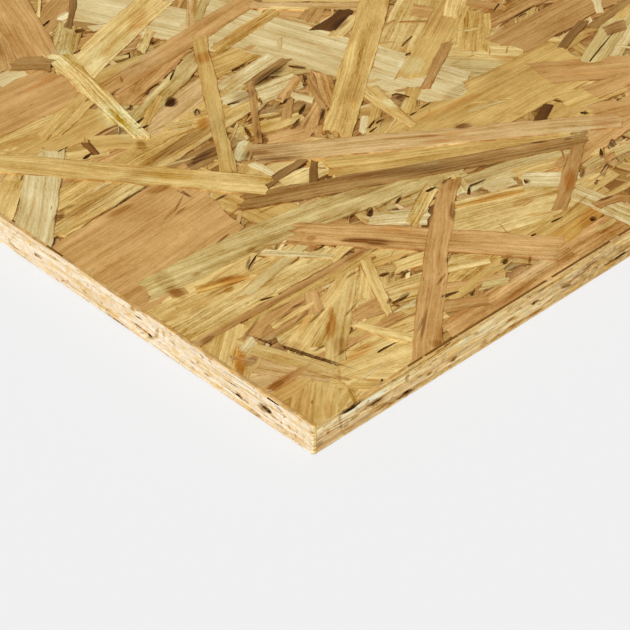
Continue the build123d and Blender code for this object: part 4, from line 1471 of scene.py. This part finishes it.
@dataclass
class Corner:
    """The photographed corner: the strands placed one by one, with random chips and slivers among them."""

    sheet: Sheet
    top_drop: float = 0.05 * MM  # how deep the highest strand lies
    level_step: float = 0.10 * MM
    reach: float = 0.28  # metres from the corner that the loose chips and slivers lie within
    first_mark: float = 37.0  # the strands' own numbers, from which their patterns are drawn
    mark_step: float = 3.7
    # strands at least this long, in mm, get this many steps along and across
    grades: tuple[tuple[float, int, int], ...] = ((60.0, 40, 11), (24.0, 20, 8), (0.0, 10, 5))

    def points(self, placed: list[tuple[int, Strand]]) -> bpy.types.Mesh:
        """Turns listed strands into points that carry their facts.

        Args:
            placed: The strands, each with its number in the whole list.

        Returns:
            A mesh of loose points.
        """
        mesh = bpy.data.meshes.new("corner points")
        mesh.vertices.add(len(placed))
        low, level = self.sheet.low, self.sheet.high.z
        columns: dict[str, list[float]] = {name: [] for name in POINT_FACTS}
        for number, strand in placed:
            for name, spot in (("head", strand.near), ("tail", strand.far)):
                columns[name] += [low.x + spot[0] * MM, low.y + spot[1] * MM, level]
            columns["girth"].append(strand.width * MM)
            columns["taper"].append(strand.taper)
            columns["bow"].append(strand.bow * MM)
            # later rows of one level lie a little higher
            steps = strand.level + 1 - number / len(CORNER_STRANDS)
            columns["drop"].append(self.top_drop + self.level_step * steps)
            columns["mark"].append(self.first_mark + self.mark_step * number)
            columns["stain"] += linear(strand.tone.value)
        for name, kind in POINT_FACTS.items():
            held = mesh.attributes.new(name, kind, "POINT")
            key = {"FLOAT": "value", "FLOAT_VECTOR": "vector", "FLOAT_COLOR": "color"}[kind]
            held.data.foreach_set(key, columns[name])
        return mesh

    def placed(self, tree: bpy.types.NodeTree, material: bpy.types.Material,
               levels: range) -> list[bpy.types.Mesh]:
        """Lays the listed strands of some levels, the longer ones with more steps.

        Args:
            tree: The tree that lays a strand at each point.
            material: The strands' finish.
            levels: The levels that are laid.

        Returns:
            One mesh for each grade of length.
        """
        meshes = []
        longest = math.inf
        for shortest, along, across in self.grades:
            chosen = [(number, strand) for number, strand in enumerate(CORNER_STRANDS)
                      if strand.level in levels and shortest <= math.dist(strand.near, strand.far) < longest]
            meshes.append(grow(tree, {"Slab": 0.55 * MM, "Steps Along": along, "Steps Across": across,
                                      "Edge Wander": 0.55 * MM, "End Wander": 2.2 * MM, "Slant": 0.6,
                                      "Crown": 0.05 * MM, "Tilt": 0.05 * MM, "Material": material},
                               self.points(chosen)))
            longest = shortest
        return meshes

    def loose(self, tree: bpy.types.NodeTree, material: bpy.types.Material) -> list[bpy.types.Mesh]:
        """Scatters chips below the placed strands and thin slivers among them.

        Args:
            tree: The scattering tree.
            material: The strands' finish.

        Returns:
            The meshes of the chips and of the slivers.
        """
        low, level = self.sheet.low, self.sheet.high.z
        shared = {"Centre": (low.x + self.reach / 2, low.y + self.reach / 2, level), "Run": self.reach,
                  "Breadth": self.reach, "Turn": 1.5, "Steps Across": 2, "Crown": 0.05 * MM,
                  "Tilt": 0.1 * MM, "Slant": 1.2, "Material": material}
        chips = {"Columns": 32, "Rows": 40, "Shortest": 0.010, "Longest": 0.040, "Narrowest": 0.0015,
                 "Widest": 0.009, "Shallow": 0.8 * MM, "Deep": 1.3 * MM, "Seed": 90, "Slab": 0.4 * MM,
                 "Steps Along": 5, "Edge Wander": 0.4 * MM, "End Wander": 1.2 * MM}
        slivers = {"Columns": 30, "Rows": 36, "Shortest": 0.005, "Longest": 0.018, "Narrowest": 0.0005,
                   "Widest": 0.0030, "Shallow": 0.40 * MM, "Deep": 1.0 * MM, "Seed": 140, "Slab": 0.3 * MM,
                   "Steps Along": 4, "Edge Wander": 0.2 * MM, "End Wander": 0.8 * MM, "Pointed": 0.4}
        return [grow(tree, {**shared, **kind}) for kind in (chips, slivers)]

    def cutters(self, tree: bpy.types.NodeTree) -> bpy.types.Mesh:
        """Makes the pointed bodies that open the cracks.

        Args:
            tree: The tree that lays a strand at each point.

        Returns:
            Their mesh.
        """
        spread, tip = 1.2, 0.35  # how much wider than it shows a gap is cut, and how thin it ends
        shapes = [(number, Strand(gap.near, gap.far, gap.width * spread, Tone.VOID, 0, tip))
                  for number, gap in enumerate(CORNER_GAPS)]
        return grow(tree, {"Slab": 1.8 * MM, "Steps Along": 14, "Steps Across": 3, "Edge Wander": 0.15 * MM,
                           "End Wander": 0.6 * MM, "Slant": 0.5, "Pointed": 0.8, "Crown": 0.0, "Tilt": 0.0},
                    self.points(shapes))


@dataclass
class SawnEdge:
    """One sawn side: the cut ends and flanks of the strands inside, as thin plates and bars that fill it."""

    sheet: Sheet
    name: str
    outward: tuple[float, float, float]
    columns: int
    rows: int
    shortest: float
    longest: float
    seed: int
    cap: float = 1.2 * MM  # how much of the side's top is left to the cut ends of the face strands

    def build(self, tree: bpy.types.NodeTree, material: bpy.types.Material) -> bpy.types.Mesh:
        """Covers the side with broad plates, and lays finer bars over them.

        Both stop short of the upper face, where the cut ends of the face strands show.

        Args:
            tree: The scattering tree.
            material: The finish of the sawn side.

        Returns:
            The side's mesh, not yet trimmed to the sheet.
        """
        low, high = self.sheet.low, self.sheet.high
        ahead, aside, _ = self.outward
        covered = high.z - low.z - self.cap
        shared = {"Centre": (high.x * max(ahead, 0.0) + low.x * max(-ahead, 0.0),
                             high.y * max(aside, 0.0) + low.y * max(-aside, 0.0), low.z + covered / 2),
                  "Outward": self.outward, "Along": (abs(aside), abs(ahead), 0.0),
                  "Run": high.x - low.x if aside else high.y - low.y, "Breadth": covered,
                  "Columns": self.columns, "Steps Across": 2, "Crown": 0.0, "Tilt": 0.0, "Material": material}
        plates = {"Rows": 5, "Unevenness": 0.3, "Shortest": 1.5 * self.longest, "Longest": 2.5 * self.longest,
                  "Narrowest": 2.6 * MM, "Widest": 2.8 * MM, "Turn": 0.003, "Shallow": 0.12 * MM,
                  "Deep": 0.17 * MM, "Seed": self.seed + 500, "Slab": 1.0 * MM, "Steps Along": 3,
                  "Edge Wander": 0.0, "End Wander": 0.0, "Slant": 0.5, "Pointed": 0.0}
        bars = {"Rows": self.rows, "Unevenness": 0.5, "Shortest": self.shortest, "Longest": self.longest,
                "Narrowest": 0.4 * MM, "Widest": 1.4 * MM, "Turn": 0.09, "Shallow": 0.02 * MM,
                "Deep": 0.19 * MM, "Seed": self.seed, "Slab": 0.8 * MM, "Steps Along": 7,
                "Edge Wander": 0.15 * MM, "End Wander": 0.8 * MM, "Slant": 0.5, "Pointed": 0.9}
        return join([grow(tree, {**shared, **kind}) for kind in (plates, bars)])


def points_tree(lay: bpy.types.NodeTree) -> bpy.types.NodeTree:
    """Builds the tree that lays the listed strands.

    Args:
        lay: The group that lays a strand at each point.

    Returns:
        The node tree.
    """
    tree, given = open_tree("place strands", LAY_INPUTS)
    points = add(tree, "GeometryNodeMeshToPoints", Mesh=given.outputs["Geometry"], Radius=0.001)
    close_tree(tree, lay, points, given.outputs)
    return tree


@dataclass
class Studio:
    """A plain pale floor, even light with one soft lamp, and the photograph's camera."""

    backdrop: str = "#F0F0F0"
    floor_reach: float = 400.0  # metres, so that the horizon stays pale at a low view
    focal: float = 131.4  # mm on a 36 mm sensor
    pitch: float = 37.3  # degrees down
    yaw: float = 46.14  # degrees from the sheet's length
    # the camera's place from the near bottom corner of the sheet
    stand: tuple[float, float, float] = (-0.3455, -0.3602, 0.4310)
    even_light: float = 0.3
    key: float = 3.44  # where pi renders a white sheet that faces the lamp as white
    key_towards: tuple[float, float, float] = (-0.66, -0.38, 0.65)
    key_softness: float = 20.0  # degrees that the lamp looks wide
    floor_drop: float = 0.2 * MM  # so that the floor and the sheet's underside don't share a plane
    floor_glow: float = 0.75  # the share of the floor's colour that no shadow darkens

    def camera(self, corner: Vector) -> None:
        """Sets the camera as it stood for the photograph.

        Args:
            corner: The near bottom corner of the sheet.
        """
        data = bpy.data.cameras.new("camera")
        data.lens = self.focal
        data.sensor_width = 36.0
        data.clip_start = 0.01
        data.clip_end = 1000.0
        made = in_scene("camera", data)
        made.location = corner + Vector(self.stand)
        made.rotation_euler = (math.radians(90 - self.pitch), 0.0, math.radians(self.yaw - 90))
        bpy.context.scene.camera = made

    def seen_rays(self, tree: bpy.types.NodeTree) -> bpy.types.Node:
        """Adds the test for rays that show the background: the camera's, glossy and transmitted ones.

        Args:
            tree: The tree that gets the test.

        Returns:
            The node, which gives 1 for such a ray and 0 for any other.
        """
        path = add(tree, "ShaderNodeLightPath")
        either = add(tree, MATH, path.outputs["Is Camera Ray"], path.outputs["Is Glossy Ray"],
                     operation="MAXIMUM")
        return add(tree, MATH, either, path.outputs["Is Transmission Ray"], operation="MAXIMUM")

    def world(self) -> None:
        """Lights the object evenly, and shows the pale backdrop to the camera."""
        world = bpy.data.worlds.new("studio")
        bpy.context.scene.world = world
        world.use_nodes = True
        tree = world.node_tree
        tree.nodes.clear()
        light = add(tree, "ShaderNodeBackground", Color=linear("#FFFFFF"), Strength=self.even_light)
        shown = add(tree, "ShaderNodeBackground", Color=linear(self.backdrop), Strength=1.0)
        mixed = add(tree, "ShaderNodeMixShader", self.seen_rays(tree), light, shown)
        add(tree, "ShaderNodeOutputWorld", Surface=mixed)

    def floor(self) -> None:
        """Lays the floor just under the sheet, pale to the camera but still holding the sheet's shadow."""
        mesh = bpy.data.meshes.new("floor")
        reach = self.floor_reach
        rim = ((-reach, -reach), (reach, -reach), (reach, reach), (-reach, reach))
        mesh.from_pydata([(x, y, -self.floor_drop) for x, y in rim], [], [(0, 1, 2, 3)])
        material, tree = open_material("pale studio floor")
        matte = add(tree, "ShaderNodeBsdfDiffuse", Color=linear(self.backdrop))
        glow = add(tree, "ShaderNodeEmission", Color=linear(self.backdrop), Strength=1.0)
        share = add(tree, MATH, self.seen_rays(tree), self.floor_glow, operation="MULTIPLY")
        mixed = add(tree, "ShaderNodeMixShader", share, matte, glow)
        add(tree, "ShaderNodeOutputMaterial", Surface=mixed)
        mesh.materials.append(material)
        in_scene("floor", mesh)

    def lamp(self) -> None:
        """Adds the distant soft lamp that gives the sides and the relief their shade."""
        data = bpy.data.lights.new("key", "SUN")
        data.energy = self.key
        data.angle = math.radians(self.key_softness)
        in_scene("key", data).rotation_euler = Vector(self.key_towards).to_track_quat("Z", "Y").to_euler()

    def build(self, corner: Vector) -> None:
        """Sets up the whole studio.

        Args:
            corner: The near bottom corner of the sheet.
        """
        self.camera(corner)
        self.world()
        self.floor()
        self.lamp()


def main() -> None:
    """Builds the sheet piece by piece, then the studio."""
    logging.basicConfig(level=logging.INFO, format="%(name)s: %(message)s")
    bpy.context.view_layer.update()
    low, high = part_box(SHEET)
    sheet = Sheet(low, high, packed_body(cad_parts[SHEET]))

    core = Core(sheet).build()
    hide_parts(SHEET)
    log.info("core: %d faces", len(core.data.polygons))

    lay = lay_tree()
    place_tree = points_tree(lay)
    upper_corner = Vector((low.x, low.y, high.z))
    wood = StrandFinish("pressed softwood strands", upper_corner).make()
    stained = StrandFinish("pressed softwood strands with stains", upper_corner, CORNER_SMUDGES).make()
    ends = SawnFinish("sawn across the strands", (1.6, 1.6, 0.9), (2.2, 2.2, 1.3), contrast=0.1,
                      tears_from=0.62, stains=SHORT_SIDE_SMUDGES, corner=low, view=View.SHORT_SIDE)
    flanks = SawnFinish("sawn along the strands", (3.0, 3.0, 0.8), (3.0, 3.0, 1.1), contrast=0.18,
                        tears_from=0.59, stains=LONG_SIDE_SMUDGES, corner=low, view=View.LONG_SIDE)
    caps = (replace(ends, name="sawn ends of face strands", base=Tone.SAWN_CREAM.value),
            replace(flanks, name="sawn flanks of face strands", base=Tone.SAWN_GOLD.value))
    arris = SawnFinish("broken arris", (3.0, 3.0, 0.6), (2.0, 2.0, 1.0), base="#C59E62", contrast=0.3)
    # the walls of the gaps are painted dark brown, as the shade down in them
    walls = SawnFinish("shaded walls of gaps", (4.0, 4.0, 0.6), (3.0, 3.0, 1.0), base="#74501F")
    labels = ("short", "long", "short cap", "long cap", "arris", "gap")
    finishes = {label: finish.make()
                for label, finish in zip(labels, (ends, flanks, *caps, arris, walls), strict=True)}
    mixed = scatter_tree("scatter face strands",
                         (Tone.CREAM, Tone.PALE, Tone.STRAW, Tone.BUFF, Tone.HONEY, Tone.TAN, Tone.ROSE,
                          Tone.GOLD, Tone.RUSSET, Tone.BROWN), lay)
    small = scatter_tree("scatter chips", (Tone.PALE, Tone.STRAW, Tone.ASH, Tone.BUFF, Tone.HONEY, Tone.ROSE,
                                           Tone.TAN, Tone.RUSSET), lay)
    corner = Corner(sheet)
    cutters = corner.cutters(place_tree)
    finished: list[tuple[str, bpy.types.Mesh]] = []
    for facing, seed in ((Facing.TOP, 10), (Facing.UNDERSIDE, 50)):
        face = Face(sheet, facing, seed)
        for number in range(face.strips):
            near_corner = facing is Facing.TOP and number == 0
            finished.append((f"{facing.name.lower()}_strands_{number + 1}",
                             face.strip(number, mixed, stained if near_corner else wood)))
    lower = join([*corner.placed(place_tree, stained, range(2, 9)), *corner.loose(small, stained)])
    finished.append(("corner_lower_strands", trim(lower, cutters, Cut.TAKE_OUT)))
    finished.append(("corner_upper_strands", join(corner.placed(place_tree, stained, range(2)))))

    pale = scatter_tree("scatter bars cut across", (Tone.SAWN_PALE, Tone.SAWN_CREAM, Tone.SAWN_PALE,
                                                    Tone.SAWN_STRAW, Tone.SAWN_CREAM), lay)
    deep = scatter_tree("scatter bars cut along", (Tone.SAWN_GOLD, Tone.SAWN_FAIR, Tone.SAWN_GOLD,
                                                   Tone.SAWN_TAN, Tone.SAWN_FAIR, Tone.SAWN_BROWN), lay)
    for end, way, seed in (("near", -1.0, 200), ("far", 1.0, 230)):
        edge = SawnEdge(sheet, f"short_edge_{end}", (way, 0.0, 0.0), columns=87, rows=16, shortest=0.008,
                        longest=0.045, seed=seed)
        finished.append((edge.name, edge.build(pale, finishes["short"])))
    for end, way, seed in (("near", -1.0, 260), ("far", 1.0, 290)):
        edge = SawnEdge(sheet, f"long_edge_{end}", (0.0, way, 0.0), columns=56, rows=16, shortest=0.030,
                        longest=0.095, seed=seed)
        finished.append((edge.name, edge.build(deep, finishes["long"])))

    for name, mesh in finished:
        mesh = trim(mesh, sheet.body, Cut.KEEP_INSIDE)
        sheet.roughen(mesh)
        sheet.dress(mesh, finishes)
        mesh.name = name
        piece(name, mesh)
        log.info("%s: %d faces", name, len(mesh.polygons))

    Studio().build(low)
    bpy.context.scene.view_settings.view_transform = "Standard"


if __name__ == "__main__":
    main()
